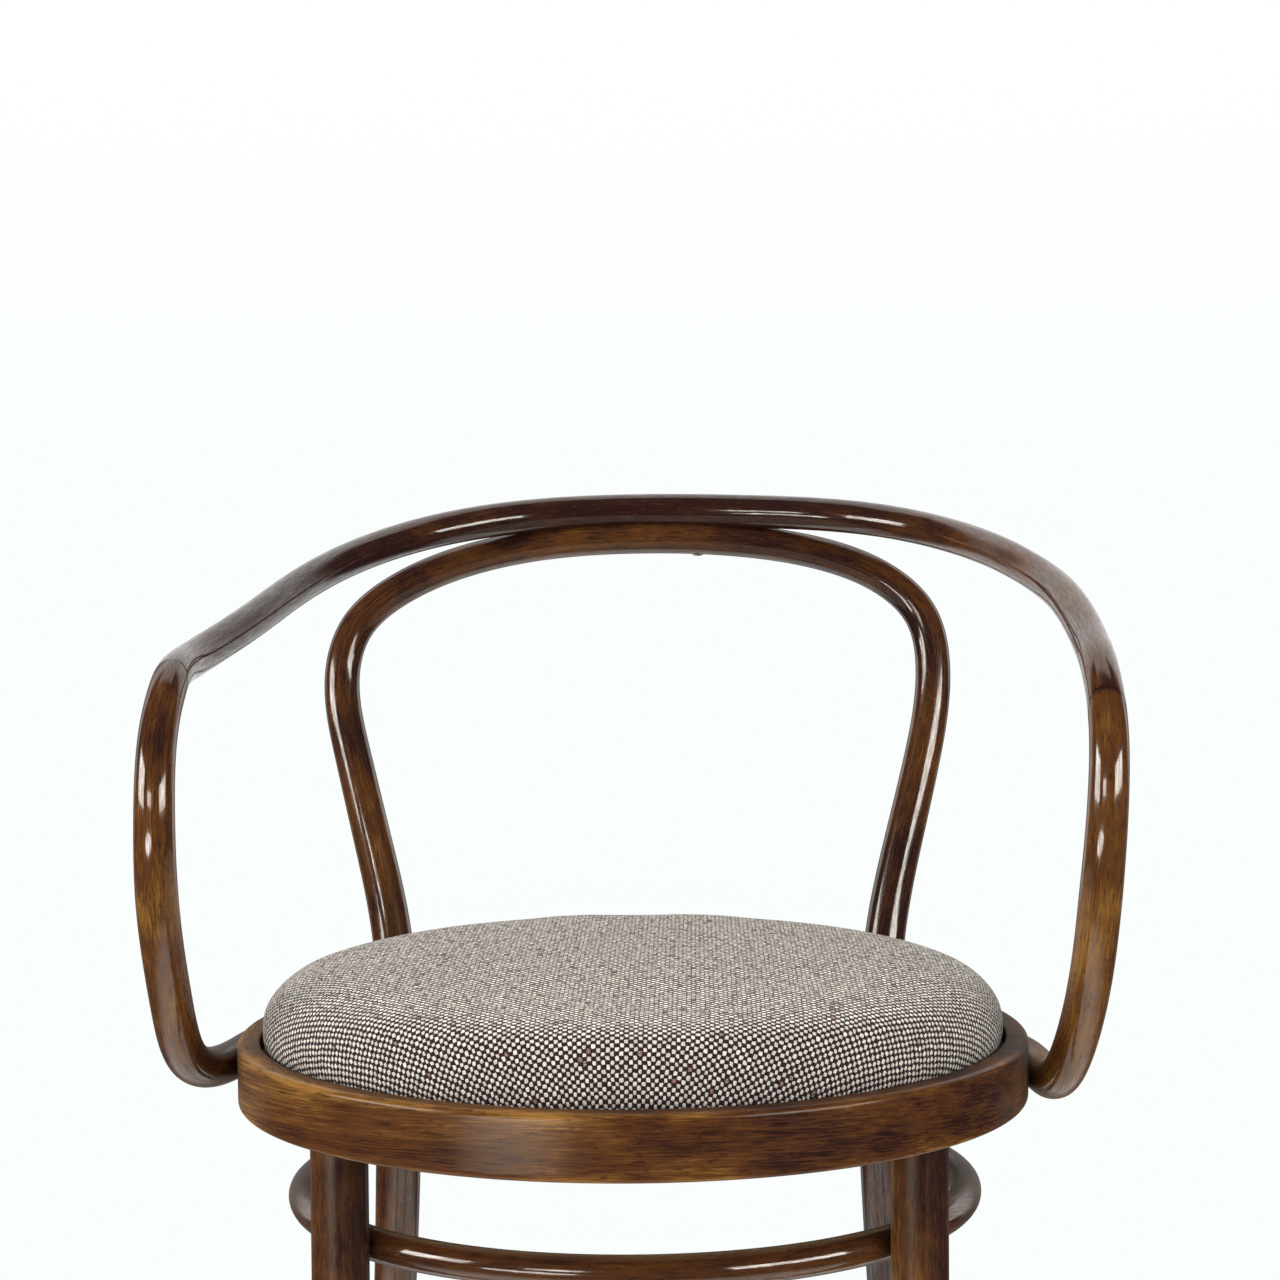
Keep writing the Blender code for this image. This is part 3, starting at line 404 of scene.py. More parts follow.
def hoop_half(side, sign):
    """Stations of one half of the back hoop, foot to arch: the arch is a quarter of a superellipse."""
    hoop = settings().hoop
    leg = settings().leg
    ring_half = hoop.waist + hoop.splay
    ring_back = leg.ring_back + beside_leg_ring(ring_half, hoop.leg_rod)
    knee_half = KNEE_ACROSS * hoop.foot_half + (1 - KNEE_ACROSS) * ring_half
    knee_back = KNEE_BACK * hoop.foot_back + (1 - KNEE_BACK) * ring_back
    shoulder = hoop.top - hoop.shoulder_drop
    stations = [
        (hoop.foot_half, hoop.foot_back, 0.0),
        (knee_half, knee_back, leg.ring_height / 2),
        (ring_half, ring_back, leg.ring_height),
        (hoop.waist, hoop_setback(seat_middle()), seat_middle()),
    ]
    for up, out in HOOP_WIDENING:
        height = seat_middle() + (shoulder - seat_middle()) * up
        stations.append((hoop.waist + (hoop.half_width - hoop.waist) * out, hoop_setback(height), height))
    power = 2 / HOOP_SQUARENESS[side]
    for angle in ARCH_ANGLES:
        turn = math.radians(angle)
        height = shoulder + hoop.shoulder_drop * max(math.cos(turn), 0.0)**power
        stations.append((hoop.half_width * math.sin(turn)**power, hoop_setback(height), height))
    return [(sign * x, y, z) for x, y, z in stations]


def hoop_path(step):
    """Axis of the back hoop from the left foot over the arch to the right foot."""
    top = settings().hoop.top
    stations = [*hoop_half("left", -1), (0.0, hoop_setback(top), top), *hoop_half("right", 1)[::-1]]
    return smooth_path(stations, step) + SEAT_CENTRE


def hoop_radii(path):
    """Radius of the back hoop by height: thickest at the leg ring, thinner to the foot and the arch."""
    hoop = settings().hoop
    heights = (0.0, settings().leg.ring_height, seat_middle(), hoop.top - hoop.shoulder_drop, hoop.top)
    rods = (hoop.foot_rod, hoop.leg_rod, hoop.seat_rod, hoop.shoulder_rod, hoop.top_rod)
    return np.interp(path[:, 2], heights, rods) / 2


def back_axis():
    """Setback and height of the rail's axis at the middle of the back."""
    hoop = settings().hoop
    arm = settings().arm
    height = hoop.top + (hoop.top_rod + arm.back_rod) / 2 - arm.groove
    return hoop_setback(hoop.top) + arm.behind, height


def bend_height():
    """Height of the rail's axis at the front bends."""
    arm = settings().arm
    back, height = back_axis()
    return height - arm.slope * (back - arm.front) + arm.bend_rise


def arm_half(side, sign):
    """Stations of one half of the rail, from behind the back to the end on the seat ring."""
    arm = settings().arm
    half = settings().seat.radius + ARM_OUTREACH[side]
    back, height = back_axis()
    reach = back - arm.front
    stations = []
    for across, way, lift in ARM_ROUTE[side]:
        fall = arm.slope * reach * (1 - way)
        stations.append((sign * half * across, arm.front + reach * way, height - fall + reach * lift))
    for across, behind, up in UPRIGHT_ROUTE[side]:
        rise = seat_middle() + (bend_height() - seat_middle()) * up
        stations.append((sign * half * across, arm.front + reach * behind, rise))
    end = settings().seat.radius + arm.end_rod / 2 - arm.end_bed
    low = seat_middle() - ARM_END_DROP[side]
    for angle in ARM_END_ANGLES:
        turn = math.radians(angle)
        stations.append((sign * end * math.cos(turn), end * math.sin(turn), low))
    return stations


def arm_path(step):
    """Axis of the whole rail from the left end round the back to the right end."""
    middle = (0.0, *back_axis())
    return smooth_path([*arm_half("left", -1)[::-1], middle, *arm_half("right", 1)], step) + SEAT_CENTRE


def arm_radii(path):
    """Radius of the rail by its share of the way from the back's middle to an end."""
    arm = settings().arm
    run = path_length(path)
    middle = run[np.argmax(path[:, 2])]
    away = np.abs(run - middle) / np.where(run < middle, middle, run[-1] - middle)
    rods = (arm.back_rod, arm.arm_rod, arm.arm_rod, arm.upright_rod, arm.upright_rod, arm.end_rod)
    return np.interp(away, ARM_SHARES, rods) / 2


def rod_frames(path):
    """Two unit cross directions at each point of a path, turned as little as possible along it."""
    along = np.gradient(path, axis=0)
    along /= np.linalg.norm(along, axis=1, keepdims=True)
    seed = np.eye(3)[np.argmin(np.abs(along[0]))]
    side = np.empty_like(along)
    for here, tangent in enumerate(along):
        seed = seed - tangent * (seed @ tangent)
        seed = seed / np.linalg.norm(seed)
        side[here] = seed
    return side, np.cross(along, side)


def rod_grid(path, radii, seed, stain_and_painted_light=EVEN_STAIN):
    """Circle carried along a path, with the slight waver of hand bending.

    Point (s, a) is the path at s plus r (cos a side + sin a up), where r is the radius times one plus two
    small waves in a and s. Also gives the rod's grain: the same point in the straight rod before bending,
    as (s, r cos a, r sin a), and with it how much paler the rod is there, by its stain and by painted light
    and shade.
    """
    angle = np.linspace(0.0, math.tau, settings().rod_sides, endpoint=False)
    side, up = rod_frames(path)
    run = path_length(path)
    waver = 1.0
    for lobes, pace, turns, depth in WAVER:
        waver = waver + depth * np.sin(lobes * angle + pace * run[:, None] + turns * seed)
    radius = radii[:, None] * waver
    across = radius * np.cos(angle)
    above = radius * np.sin(angle)
    grid = path[:, None] + across[..., None] * side[:, None] + above[..., None] * up[:, None]
    lift = np.interp(run / run[-1], *np.transpose(stain_and_painted_light))
    grain = np.stack(np.broadcast_arrays(run[:, None], across, above, lift[:, None]), axis=2)
    return grid, grain + SEED_SHIFT * seed


def skin(name, grid, grain=None, looped=False):
    """Mesh object of a grid whose columns close on themselves; its rows are capped, or close in a loop."""
    rows, columns = grid.shape[:2]
    index = np.arange(rows * columns).reshape(rows, columns)
    if looped:
        index = np.vstack([index, index[:1]])
    low, high = index[:-1], index[1:]
    quads = np.stack([low, np.roll(low, -1, 1), np.roll(high, -1, 1), high], axis=2)
    faces = quads.reshape(-1, 4).tolist()
    if not looped:
        faces += [index[0, ::-1].tolist(), index[-1].tolist()]
    return solid(name, grid.reshape(-1, 3), faces, grain)


def solid(name, points, faces, grain=None):
    """Mesh object of points and faces at the origin, with grain, and stain with painted light, kept at its
    corners.
    """
    mesh = bpy.data.meshes.new(name)
    mesh.from_pydata(points.tolist(), [], faces)
    if grain is not None:
        corners = np.empty(len(mesh.loops), np.int32)
        mesh.loops.foreach_get("vertex_index", corners)
        values = grain.reshape(-1, 4)[corners].astype(np.float32)
        layer = mesh.attributes.new("grain", "FLOAT_VECTOR", "CORNER")
        layer.data.foreach_set("vector", values[:, :3].ravel())
        layer = mesh.attributes.new("stain_and_painted_light", "FLOAT", "CORNER")
        layer.data.foreach_set("value", values[:, 3].copy())
    item = bpy.data.objects.new(name, mesh)
    bpy.context.scene.collection.objects.link(item)
    soften(item)
    return item


def soften(item):
    """Shade smooth over round faces and keep crisp edges."""
    item.data.shade_smooth()
    item.data.set_sharp_from_angle(angle=SHARP_EDGE)


def carve(item, *tools):
    """Cut the tools out of a piece, keep the result as its mesh and remove the tools."""
    for tool in tools:
        step = item.modifiers.new("cut", "BOOLEAN")
        step.operation = "DIFFERENCE"
        step.solver = "EXACT"
        step.object = tool
    carved = bpy.data.meshes.new_from_object(item.evaluated_get(bpy.context.evaluated_depsgraph_get()))
    whole = item.data
    item.modifiers.clear()
    item.data = carved
    bpy.data.meshes.remove(whole)
    for tool in tools:
        bpy.data.objects.remove(tool, do_unlink=True)
    soften(item)


def block(axes, low, high):
    """Box between two corners in a frame of axes, as a cutting tool."""
    pick = np.array([[x, y, z] for x in (0, 1) for y in (0, 1) for z in (0, 1)])
    corners = np.array(low) + pick * (np.array(high) - np.array(low))
    turn = np.array(axes.to_3x3())
    faces = [[0, 1, 3, 2], [4, 6, 7, 5], [0, 4, 5, 1], [2, 3, 7, 6], [0, 2, 6, 4], [1, 5, 7, 3]]
    return solid("tool", corners @ turn.T + np.array(axes.translation), faces)


def drum(radius, low, high, centre):
    """Upright cylinder as a cutting tool."""
    angle = np.linspace(0.0, math.tau, DRUM_FACETS, endpoint=False)
    circle = np.stack([radius * np.cos(angle), radius * np.sin(angle), 0 * angle], axis=1) + centre
    return skin("tool", np.stack([circle + [0, 0, low], circle + [0, 0, high]]))


def rod_tool(path, radii):
    """A rod grown by the gap between pieces, as a cutting tool."""
    return skin("tool", rod_grid(path, radii + GAP, 0.0)[0])


def rear_leg_tools(height, reach):
    """The two lengths of the back hoop that pass within reach of a height, as cutting tools."""
    path = hoop_path(TOOL_STEP)
    near = np.abs(path[:, 2] - height) < reach
    legs = (path[near & (path[:, 0] < 0)], path[near & (path[:, 0] > 0)])
    return [rod_tool(leg, hoop_radii(leg)) for leg in legs]


def front_leg_tools(heights, radius):
    """Both front legs between two heights, grown by the gap, as cutting tools."""
    return [skin("tool", front_leg_grid(sign, heights, [radius + GAP] * 2, 0.0)[0]) for _, sign in SIDES]


def ring_skin(name, rho, height, centre, radius, narrow, shift, lift):
    """Closed ring: point (t, p) is the centre plus (rho cos t, rho sin t, height).

    Its grain runs round the ring as twice the radius times |sin(t / 2)|, which meets itself at the seam,
    and is narrowed across.
    """
    turn = np.linspace(0.0, math.tau, RING_FACETS, endpoint=False)[:, None]
    grid = np.stack([rho * np.cos(turn), rho * np.sin(turn), height], axis=2) + centre
    bend = np.broadcast_to(radius * np.abs(np.sin(turn / 2)) * 2, rho.shape)
    grain = np.stack([bend + shift, rho * narrow, height + 0.02 * np.sin(turn), lift], axis=2)
    return skin(name, grid, grain, looped=True)


def dress(item, slot, material, *nodes):
    """Give a piece its finish, let it stand for CAD nodes and ride on the frame."""
    item.data.materials.clear()
    item.data.materials.append(material)
    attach(item, "root")
    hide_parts(*nodes)
    return item


def node(tree, kind, inputs=(), **values):
    """Add a shader node, set its properties, and link or set its inputs by name or number."""
    made = tree.nodes.new(kind)
    for key, value in values.items():
        setattr(made, key, value)
    for socket, value in dict(inputs).items():
        if isinstance(value, bpy.types.NodeSocket):
            tree.links.new(value, made.inputs[socket])
        else:
            made.inputs[socket].default_value = value
    return made


def sum_up(tree, operation, *values, clamp=False):
    """Math node on up to three values."""
    made = node(tree, "ShaderNodeMath", dict(enumerate(values)), operation=operation, use_clamp=clamp)
    return made.outputs[0]


def vector_sum(tree, operation, *values):
    """Vector Math node on up to three vectors; gives a number where the operation makes one."""
    made = node(tree, "ShaderNodeVectorMath", dict(enumerate(values)), operation=operation)
    return made.outputs["Value" if operation in {"LENGTH", "DOT_PRODUCT"} else "Vector"]


def ramp(tree, value, low, high, to_low=0.0, to_high=1.0):
    """Smooth step of a value between two limits."""
    given = {"Value": value, "From Min": low, "From Max": high, "To Min": to_low, "To Max": to_high}
    return node(tree, "ShaderNodeMapRange", given, interpolation_type="SMOOTHSTEP").outputs["Result"]


def blend(tree, factor, first, second, kind="MIX"):
    """Mix of two colours."""
    given = {0: factor, 6: first, 7: second}
    return node(tree, "ShaderNodeMix", given, data_type="RGBA", blend_type=kind).outputs[2]


def set_values(target, values):
    """Set constants on a node's own sockets."""
    for socket, value in values.items():
        target.inputs[socket].default_value = value


def roughen(tree, surface, height, strength, distance):
    """Bump of a height on a shader's normal."""
    bump = node(tree, "ShaderNodeBump", {"Strength": strength, "Distance": distance, "Height": height})
    tree.links.new(bump.outputs["Normal"], surface.inputs["Normal"])


def seen_directly(tree, rays):
    """Whether a ray comes straight from the camera, or through glass."""
    return sum_up(tree, "MAXIMUM", rays.outputs["Is Camera Ray"], rays.outputs["Is Transmission Ray"])


def stretched_noise(tree, vector, scale, detail, roughness):
    """Noise on a vector whose three axes are scaled apart."""
    scaled = vector_sum(tree, "MULTIPLY", vector, scale)
    given = {"Vector": scaled, "Scale": 1.0, "Detail": detail, "Roughness": roughness}
    return node(tree, "ShaderNodeTexNoise", given).outputs["Fac"]


def group_tree(name, inputs, outputs):
    """A new shader node group with its named sockets, its input node and its output node."""
    tree = bpy.data.node_groups.new(name, "ShaderNodeTree")
    for label, kind in inputs:
        tree.interface.new_socket(name=label, in_out="INPUT", socket_type=f"NodeSocket{kind}")
    for label, kind in outputs:
        tree.interface.new_socket(name=label, in_out="OUTPUT", socket_type=f"NodeSocket{kind}")
    return tree, tree.nodes.new("NodeGroupInput"), tree.nodes.new("NodeGroupOutput")


def grain_group():
    """Stained grain: the tone wanders along a rod in zones, blotches, long streaks and fine fibres.

    The tone takes the colour from dark over middle to pale; flecks and nicks are darker and a few flecks
    are paler, all drawn out along the rod.
    """
    if "Stained grain" in bpy.data.node_groups:
        return bpy.data.node_groups["Stained grain"]
    inputs = (("Grain", "Vector"), ("Dark", "Color"), ("Middle", "Color"), ("Pale", "Color"),
              ("Tone", "Float"), ("Figure", "Float"), ("Dullness", "Float"))
    outputs = (("Colour", "Color"), ("Roughness", "Float"), ("Polish", "Float"), ("Height", "Float"))
    tree, given, result = group_tree("Stained grain", inputs, outputs)
    grain, dark, pale = (given.outputs[name] for name in ("Grain", "Dark", "Pale"))
    noise = {name: stretched_noise(tree, grain, *look) for name, look in GRAIN_NOISES.items()}
    tone = given.outputs["Tone"]
    for name, weight in GRAIN_WEIGHTS.items():
        figure = sum_up(tree, "MULTIPLY", given.outputs["Figure"], weight)
        tone = sum_up(tree, "MULTIPLY_ADD", sum_up(tree, "SUBTRACT", noise[name], 0.5), figure, tone)
    body = blend(tree, ramp(tree, tone, 0.02, 0.52), dark, given.outputs["Middle"])
    body = blend(tree, ramp(tree, tone, 0.46, 1.0), body, pale)
    marks = (
        ("fleck", 0.56, 0.70, 0.55, dark),
        ("fleck", 0.38, 0.26, 0.12, pale),
        ("nick", 0.74, 0.78, 0.80, dark),
    )
    for name, start, full, weight, tint in marks:
        body = blend(tree, ramp(tree, noise[name], start, full, 0.0, weight), body, tint)
    worn = sum_up(tree, "MULTIPLY_ADD", noise["fibre"], 0.5, sum_up(tree, "MULTIPLY", noise["streak"], 0.5))
    rough = sum_up(tree, "ADD", ramp(tree, worn, 0.3, 0.7, 0.08, 0.17), given.outputs["Dullness"])
    polish = ramp(tree, noise["fibre"], 0.36, 0.58, 1.0, 0.25)
    for socket, value in (("Colour", body), ("Roughness", rough), ("Polish", polish), ("Height", worn)):
        tree.links.new(value, result.inputs[socket])
    return tree


def weave_group():
    """Plain weave from two families of round yarns.

    Across the cloth, in yarn pitches x and y, a pale yarn i runs along y at x = i with height
    A cos(pi (y + i)) plus its round section, and a dark yarn j runs along x at y = j with height
    minus A cos(pi (x + j)) plus its own; the higher one shows. Each yarn is darker towards its edges and
    where it dips, as painted shade. On the top of the seat the pale yarns are wider, and short dashes of
    painted light and shadow break up the pattern.
    """
    if "Plain weave" in bpy.data.node_groups:
        return bpy.data.node_groups["Plain weave"]
    inputs = (("Cloth", "Vector"), ("Pitch", "Float"), ("Pale", "Color"), ("Dark", "Color"),
              ("Fleck", "Color"))
    outputs = (("Colour", "Color"), ("Height", "Float"))
    tree, given, result = group_tree("Plain weave", inputs, outputs)
    cloth, pale_yarn, dark_yarn = (given.outputs[name] for name in ("Cloth", "Pale", "Dark"))
    pitch = node(tree, "ShaderNodeCombineXYZ", {axis: given.outputs["Pitch"] for axis in range(3)}).outputs[0]
    counted = vector_sum(tree, "DIVIDE", cloth, pitch)
    wander = node(tree, "ShaderNodeTexNoise", {"Vector": counted, "Scale": 0.42, "Detail": 3.0})
    bent = vector_sum(tree, "MULTIPLY_ADD", wander.outputs["Color"], (1.1, 1.1, 0.0), counted)
    split = node(tree, "ShaderNodeSeparateXYZ", {0: bent})
    x, y = split.outputs[0], split.outputs[1]
    pale_at = sum_up(tree, "ROUND", x)
    dark_at = sum_up(tree, "ROUND", y)

    def yarn(centre, across, along, radius, thick, way):
        """Height of one family of yarns: its wave over and under, plus a round section."""
        off = sum_up(tree, "DIVIDE", sum_up(tree, "SUBTRACT", across, centre), radius)
        inside = sum_up(tree, "SUBTRACT", 1.0, sum_up(tree, "MULTIPLY", off, off), clamp=True)
        phase = sum_up(tree, "MULTIPLY", sum_up(tree, "ADD", along, centre), math.pi)
        wave = sum_up(tree, "MULTIPLY", sum_up(tree, "COSINE", phase), way)
        return sum_up(tree, "MULTIPLY_ADD", sum_up(tree, "SQRT", inside), thick, wave)

    pale_high = yarn(pale_at, x, y, 0.58, 0.80, 0.48)
    dark_high = yarn(dark_at, y, x, 0.56, 0.70, -0.48)
    seat_top = ramp(tree, vector_sum(tree, "LENGTH", cloth), 0.185, 0.215, 1.0, 0.0)
    dark_until = sum_up(tree, "MULTIPLY_ADD", seat_top, -0.12, 0.37)
    pale_from = sum_up(tree, "ADD", dark_until, 0.22)
    over = ramp(tree, sum_up(tree, "SUBTRACT", pale_high, dark_high), dark_until, pale_from)
    cell = node(tree, "ShaderNodeCombineXYZ", {0: pale_at, 1: dark_at}).outputs[0]
    chance = node(tree, "ShaderNodeTexWhiteNoise", {"Vector": cell}, noise_dimensions="3D").outputs["Value"]
    slub = stretched_noise(tree, bent, (0.9, 0.16, 1.0), 2.0, 0.6)
    fibre = stretched_noise(tree, bent, (6.0, 6.0, 1.0), 2.0, 0.6)
    pale = blend(tree, ramp(tree, slub, 0.30, 0.70, 0.14, 0.0), pale_yarn, dark_yarn)
    pale = blend(tree, ramp(tree, chance, 0.0, 1.0, 0.24, 0.0), pale, dark_yarn)
    spun = sum_up(tree, "MULTIPLY", ramp(tree, chance, 0.981, 0.984), ramp(tree, fibre, 0.38, 0.50))
    pale = blend(tree, spun, pale, given.outputs["Fleck"])
    dark = blend(tree, ramp(tree, fibre, 0.48, 0.80, 0.0, 0.07), dark_yarn, pale_yarn)
    yarns = blend(tree, over, dark, pale)
    top = sum_up(tree, "MAXIMUM", pale_high, dark_high)
    # painted shade: each yarn darkens towards its edges and where it dips under the other
    painted_shade = ramp(tree, top, 0.30, 1.0, 0.24, 1.0)
    painted_shade = sum_up(tree, "MULTIPLY", painted_shade, ramp(tree, fibre, 0.2, 0.8, 0.80, 1.12))
    # painted light and shadow: short dashes lighten and darken the weave on the seat's top
    painted_dashes = ramp(tree, stretched_noise(tree, bent, (0.75, 0.30, 1.0), 3.0, 0.7), 0.34, 0.56, 0.50, 1.60)
    painted_dashes = sum_up(tree, "MULTIPLY_ADD", sum_up(tree, "SUBTRACT", painted_dashes, 1.0), seat_top, 1.0)
    painted_shade = sum_up(tree, "MULTIPLY", painted_shade, painted_dashes)
    grey = node(tree, "ShaderNodeCombineColor", {0: painted_shade, 1: painted_shade, 2: painted_shade}).outputs[0]
    tree.links.new(blend(tree, 1.0, yarns, grey, "MULTIPLY"), result.inputs["Colour"])
    tree.links.new(sum_up(tree, "MULTIPLY_ADD", fibre, 0.25, top), result.inputs["Height"])
    return tree


def shader(name):
    """A new material with its tree and its Principled shader, or None for the tree if it is already made."""
    if name in bpy.data.materials:
        return bpy.data.materials[name], None, None
    made = bpy.data.materials.new(name)
    made.use_nodes = True
    return made, made.node_tree, made.node_tree.nodes["Principled BSDF"]


def opaque(tint):
    """Colour of a property with full alpha."""
    return (*tint, 1.0)


def stained_beech(part):
    """Dark walnut stain on beech under clear lacquer.

    The grain follows each bend, each part has its tone, and fine scratches dull the gloss seen edge on.
    """
    made, tree, surface = shader(f"stained_beech_{part}")
    if tree is None:
        return made
    wood = settings().wood
    grain = node(tree, "ShaderNodeAttribute", attribute_name="grain").outputs["Vector"]
    lift = node(tree, "ShaderNodeAttribute", attribute_name="stain_and_painted_light").outputs["Fac"]
    stain_and_painted_light = node(tree, "ShaderNodeGroup", node_tree=grain_group())
    tree.links.new(grain, stain_and_painted_light.inputs["Grain"])
    tree.links.new(sum_up(tree, "ADD", lift, getattr(wood, part)), stain_and_painted_light.inputs["Tone"])
    dullness = {"seat_ring": wood.ring_dullness, "hoop": wood.hoop_dullness, "legs": wood.leg_dullness}
    set_values(stain_and_painted_light, {
        "Dark": opaque(wood.umber), "Middle": opaque(wood.walnut), "Pale": opaque(wood.amber),
        "Dullness": dullness.get(part, 0.0), "Figure": wood.bold_figure if part in BOLD_PARTS else 1.0,
    })
    tree.links.new(stain_and_painted_light.outputs["Colour"], surface.inputs["Base Color"])
    facing = node(tree, "ShaderNodeLayerWeight", {"Blend": 0.5}).outputs["Facing"]
    edge_on = ramp(tree, facing, 0.55, 0.78, 0.0, wood.rail_wear if part == "rail" else 1.0)
    rough = sum_up(tree, "MULTIPLY_ADD", edge_on, wood.edge_dullness, stain_and_painted_light.outputs["Roughness"])
    tree.links.new(rough, surface.inputs["Roughness"])
    gloss = {"seat_ring": wood.ring_gloss, "legs": wood.leg_gloss}.get(part, wood.gloss)
    unworn = sum_up(tree, "MULTIPLY_ADD", edge_on, -gloss, gloss)
    tree.links.new(sum_up(tree, "MULTIPLY", stain_and_painted_light.outputs["Polish"], unworn), surface.inputs["Coat Weight"])
    roughen(tree, surface, stain_and_painted_light.outputs["Height"], 0.2, 0.0003)
    set_values(surface, {
        "Coat Roughness": wood.smoothness, "Coat IOR": 1.65, "Specular Tint": opaque(wood.lacquer),
        "Specular IOR Level": 0.3 if part in RUBBED_PARTS else 0.5,
    })
    return made


def tweed():
    """Coarse plain weave of pale and dark yarns."""
    made, tree, surface = shader("tweed_weave")
    if tree is None:
        return made
    cloth = settings().cloth
    lay = node(tree, "ShaderNodeUVMap", uv_map="Cloth").outputs["UV"]
    weave = node(tree, "ShaderNodeGroup", node_tree=weave_group())
    tree.links.new(lay, weave.inputs["Cloth"])
    set_values(weave, {
        "Pitch": cloth.pitch, "Pale": opaque(cloth.cream), "Dark": opaque(cloth.brown),
        "Fleck": opaque(cloth.rust),
    })
    tree.links.new(weave.outputs["Colour"], surface.inputs["Base Color"])
    roughen(tree, surface, weave.outputs["Height"], 0.8, 0.0009)
    set_values(surface, {
        "Roughness": 0.92, "Specular IOR Level": 0.2, "Sheen Weight": 0.16, "Sheen Roughness": 0.45,
        "Sheen Tint": (0.95, 0.90, 0.82, 1.0),
    })
    return made


def patchy(name, stretch, detail, grit, tints, tint_span, dullness, dull_span, metallic=0.0):
    """Plain stuff whose colour and roughness go over from one value to another in patches of noise."""
    made, tree, surface = shader(name)
    if tree is None:
        return made
    place = node(tree, "ShaderNodeTexCoord").outputs["Object"]
    patch = stretched_noise(tree, place, stretch, detail, grit)
    tree.links.new(blend(tree, ramp(tree, patch, *tint_span), *tints), surface.inputs["Base Color"])
    tree.links.new(ramp(tree, patch, *dull_span, *dullness), surface.inputs["Roughness"])
    set_values(surface, {"Metallic": metallic})
    return made


def aged_steel():
    """Dull screw steel with patches of tarnish."""
    tints = (0.16, 0.13, 0.10, 1.0), (0.46, 0.43, 0.38, 1.0)
    return patchy(
        "aged_steel", (420.0, 420.0, 420.0), 4.0, 0.6, tints, (0.35, 0.7), (0.5, 0.28), (0.3, 0.7), 1.0)


def bare_plywood():
    """Sanded plywood with long faint figure."""
    tints = (0.36, 0.23, 0.115, 1.0), (0.60, 0.43, 0.25, 1.0)
    return patchy("bare_plywood", (9.0, 120.0, 400.0), 5.0, 0.6, tints, (0.3, 0.7), (0.7, 0.55), (0.3, 0.7))


def glide_plastic():
    """Dark moulded plastic, scuffed grey."""
    tints = (0.022, 0.018, 0.015, 1.0), (0.10, 0.09, 0.08, 1.0)
    return patchy(
        "glide_plastic_scuffed", (300.0, 300.0, 900.0), 4.0, 0.65, tints, (0.5, 0.75), (0.38, 0.6), (0.4, 0.8))


def ring_profile(corners):
    """Closed profile through corners, each turned by a quarter circle of its own radius, in short steps."""
    spots = np.array([corner[:2] for corner in corners])
    before = spots - np.roll(spots, 1, 0)
    after = np.roll(spots, -1, 0) - spots
    before /= np.linalg.norm(before, axis=1, keepdims=True)
    after /= np.linalg.norm(after, axis=1, keepdims=True)
    turn = np.linspace(0.0, math.pi / 2, CORNER_STEPS)[:, None]
    arcs = []
    for spot, coming, going, (_, _, radius) in zip(spots, before, after, corners):
        centre = spot - radius * coming + radius * going
        arcs.append(centre + radius * (np.sin(turn) * coming - np.cos(turn) * going))
    outline = np.vstack([*arcs, arcs[0][:1]])
    run = path_length(outline)
    stops = np.union1d(run, np.arange(0.0, run[-1], PROFILE_STEP))[:-1]
    return np.stack([np.interp(stops, run, outline[:, axis]) for axis in range(2)], axis=1)


def front_leg_axis(sign, heights):
    """Points on a front leg's axis: a line through its socket and past the leg ring."""
    leg = settings().leg
    half = leg.spread / 2
    bottom = settings().seat.top - settings().seat.height
    socket = -math.sqrt(leg.seat_radius**2 - half**2)
    ring = leg.ring_back - beside_leg_ring(half, leg.rod)
    lean = (ring - socket) / (leg.ring_height - bottom)
    heights = np.asarray(heights, dtype=float)
    setback = socket + lean * (heights - bottom)
    return np.stack([np.full_like(heights, sign * half), setback, heights], axis=1) + SEAT_CENTRE


def front_leg_grid(sign, heights, radii, seed):
    """Level circles stacked along the leg's axis, with the leg's grain upright."""
    angle = np.linspace(0.0, math.tau, LEG_SIDES, endpoint=False)
    axis = front_leg_axis(sign, heights)
    radii = np.asarray(radii)[:, None]
    offset = np.stack([radii * np.cos(angle), radii * np.sin(angle), 0 * radii * angle], axis=2)
    # painted light: each front leg is paler on the side turned to the left lamps and darker, as painted shade,
    # on the other side
    lift = LEG_PAINTED_LIGHT * np.cos(angle - LEG_LIT_SIDE) + LEG_TONE * sign
    grain = np.stack(np.broadcast_arrays(axis[:, 2:], offset[..., 0], offset[..., 1], lift), axis=2)
    return axis[:, None] + offset, grain + SEED_SHIFT * seed


def pad_profile(shoulder, dome):
    """Half outline of the pad from crown to hem: a superellipse over the widest line, a drawn-in side and
    a turned hem. Gives radius, height and distance along the cloth."""
    seat = settings().seat
    widest = seat.top + seat.widest
    bottom = seat.top - seat.rebate + GAP
    radius = seat.radius - seat.rim - seat.pad_gap
    rise = seat.crown - seat.widest
    turn = np.linspace(math.pi / 2, 0.0, 400)
    over = np.stack([radius * np.cos(turn)**(2 / shoulder), widest + rise * np.sin(turn)**(2 / dome)], axis=1)
    down = np.linspace(0.0, 1.0, 40)[1:]
    side = np.stack([radius - seat.draw_in * down**2, widest + (bottom - widest) * down], axis=1)
    under = np.stack([side[-1, 0] - seat.hem * down, np.full_like(down, bottom)], axis=1)
    outline = np.vstack([over, side, under])
    return outline[:, 0], outline[:, 1], path_length(outline)


